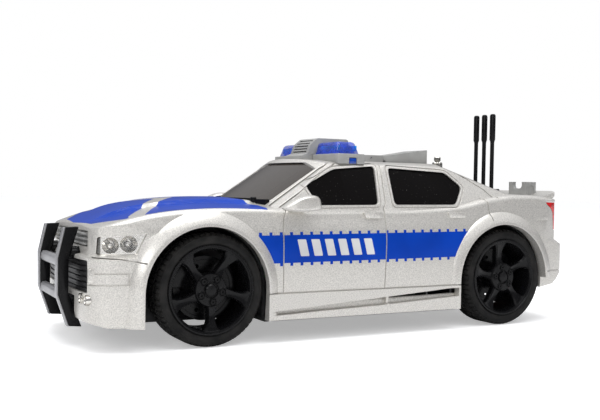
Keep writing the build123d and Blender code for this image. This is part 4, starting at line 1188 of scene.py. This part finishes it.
def wheels():
    for end, x in (("front", AXLE_X), ("rear", -AXLE_X)):
        body = f"{end}_wheels"
        for side, start in zip(("left", "right"), SPOKE_STARTS[end]):
            rubber, wheel = tyre(x), rim(x, start)
            if side == "right":
                rubber, wheel = flipped(rubber), flipped(wheel)
            place(rubber, f"{end}_tyre_{side}", "tyre_rubber", f"tyre_{end}_{side}", body=body, sharp=24)
            place(wheel, f"{end}_rim_{side}", "wheel_plastic", f"rim_{end}_{side}", body=body)
        place(both_sides(brake(x)), f"{end}_brakes", "wheel_plastic", f"{end}_brake_discs", body=body)


# ---- studio
FLOOR_REACH = 4.0
FLOOR_GLOW = 0.4  # seen by the camera only; lifts the floor towards the white background
EYE = (200.1, 353.4, 63.9)
YAW, PITCH, ROLL = -27.89, 1.49, 0.95  # degrees
LENS_MM = 50.52


def studio():
    """White floor, soft dome and two disk lights."""
    floor_mesh = bpy.data.meshes.new("floor")
    corners = [(-1, -1), (1, -1), (1, 1), (-1, 1)]
    floor_mesh.from_pydata([(FLOOR_REACH * x, FLOOR_REACH * y, 0) for x, y in corners], [], [(0, 1, 2, 3)])
    floor = linked(bpy.data.objects.new("floor", floor_mesh))
    material, (nodes, links, shader) = new_material("floor_white", (0.92, 0.92, 0.92), 0.7, specular=0.1)
    shader.inputs["Emission Color"].default_value = (1, 1, 1, 1)
    glow = nodes.new("ShaderNodeMath")
    glow.operation = "MULTIPLY"
    glow.inputs[1].default_value = FLOOR_GLOW
    links.new(nodes.new("ShaderNodeLightPath").outputs["Is Camera Ray"], glow.inputs[0])
    links.new(glow.outputs["Value"], shader.inputs["Emission Strength"])
    floor_mesh.materials.append(material)
    world = bpy.data.worlds.new("studio")
    world.use_nodes = True
    bpy.context.scene.world = world
    dome(world.node_tree)
    area_light("top_light", (0.05, 0.1, 0.9), (0, 0, 0.03), 0.9, 6.4)
    area_light("front_light", (0.75, 0.8, 0.45), (0, 0, 0.04), 0.4, 2.2)


def dome(tree):
    """Soft sky, bright overhead and dim at the horizon; plain white behind the car."""
    nodes, links = tree.nodes, tree.links
    direction = nodes.new("ShaderNodeSeparateXYZ")
    links.new(nodes.new("ShaderNodeTexCoord").outputs["Generated"], direction.inputs["Vector"])
    sky = ramp(nodes, links, direction.outputs["Z"], [(0.0, (0.10, 0.10, 0.11)), (0.22, (0.2, 0.2, 0.21)),
                                                      (0.7, (0.8, 0.81, 0.84))])
    seen = nodes.new("ShaderNodeMix")
    seen.data_type = "RGBA"
    links.new(nodes.new("ShaderNodeLightPath").outputs["Is Camera Ray"], seen.inputs["Factor"])
    links.new(sky, seen.inputs["A"])
    seen.inputs["B"].default_value = (1, 1, 1, 1)
    links.new(seen.outputs["Result"], nodes["Background"].inputs["Color"])


def area_light(name, position, target, size, power):
    """Disk light; places and size in metres, power in watts."""
    data = bpy.data.lights.new(name, "AREA")
    data.shape = "DISK"
    data.size = size
    data.energy = power
    lamp = linked(bpy.data.objects.new(name, data))
    lamp.location = position
    lamp.rotation_euler = (Vector(target) - Vector(position)).to_track_quat("-Z", "Y").to_euler()


def camera():
    """Camera looking at the car's left front."""
    data = bpy.data.cameras.new("camera")
    data.sensor_width = 36.0
    data.lens = LENS_MM
    data.clip_start = 0.01
    view = linked(bpy.data.objects.new("camera", data))
    turn = Matrix.Identity(4)
    for degrees, axis in ((180 + YAW, "Z"), (90 - PITCH, "X"), (ROLL, "Z")):
        turn = turn @ Matrix.Rotation(math.radians(degrees), 4, axis)
    eye = (Vector(EYE) + Vector((SHIFT, 0, 0))) * MM
    view.matrix_world = Matrix.Translation(eye) @ turn
    bpy.context.scene.camera = view
    bpy.context.scene.view_settings.view_transform = "Standard"


for make in (camera, studio, body_shell, glass_panes, side_band, side_marks, bonnet_film, headlights,
             tail_lamps, fog_lamps, grille, push_bar, light_bar, siren_cover, horn_key, roof_knob,
             antennas, boot_brackets, mirrors, cowl, wheels):
    make()
for source in HULLS.values():
    bpy.data.objects.remove(source)
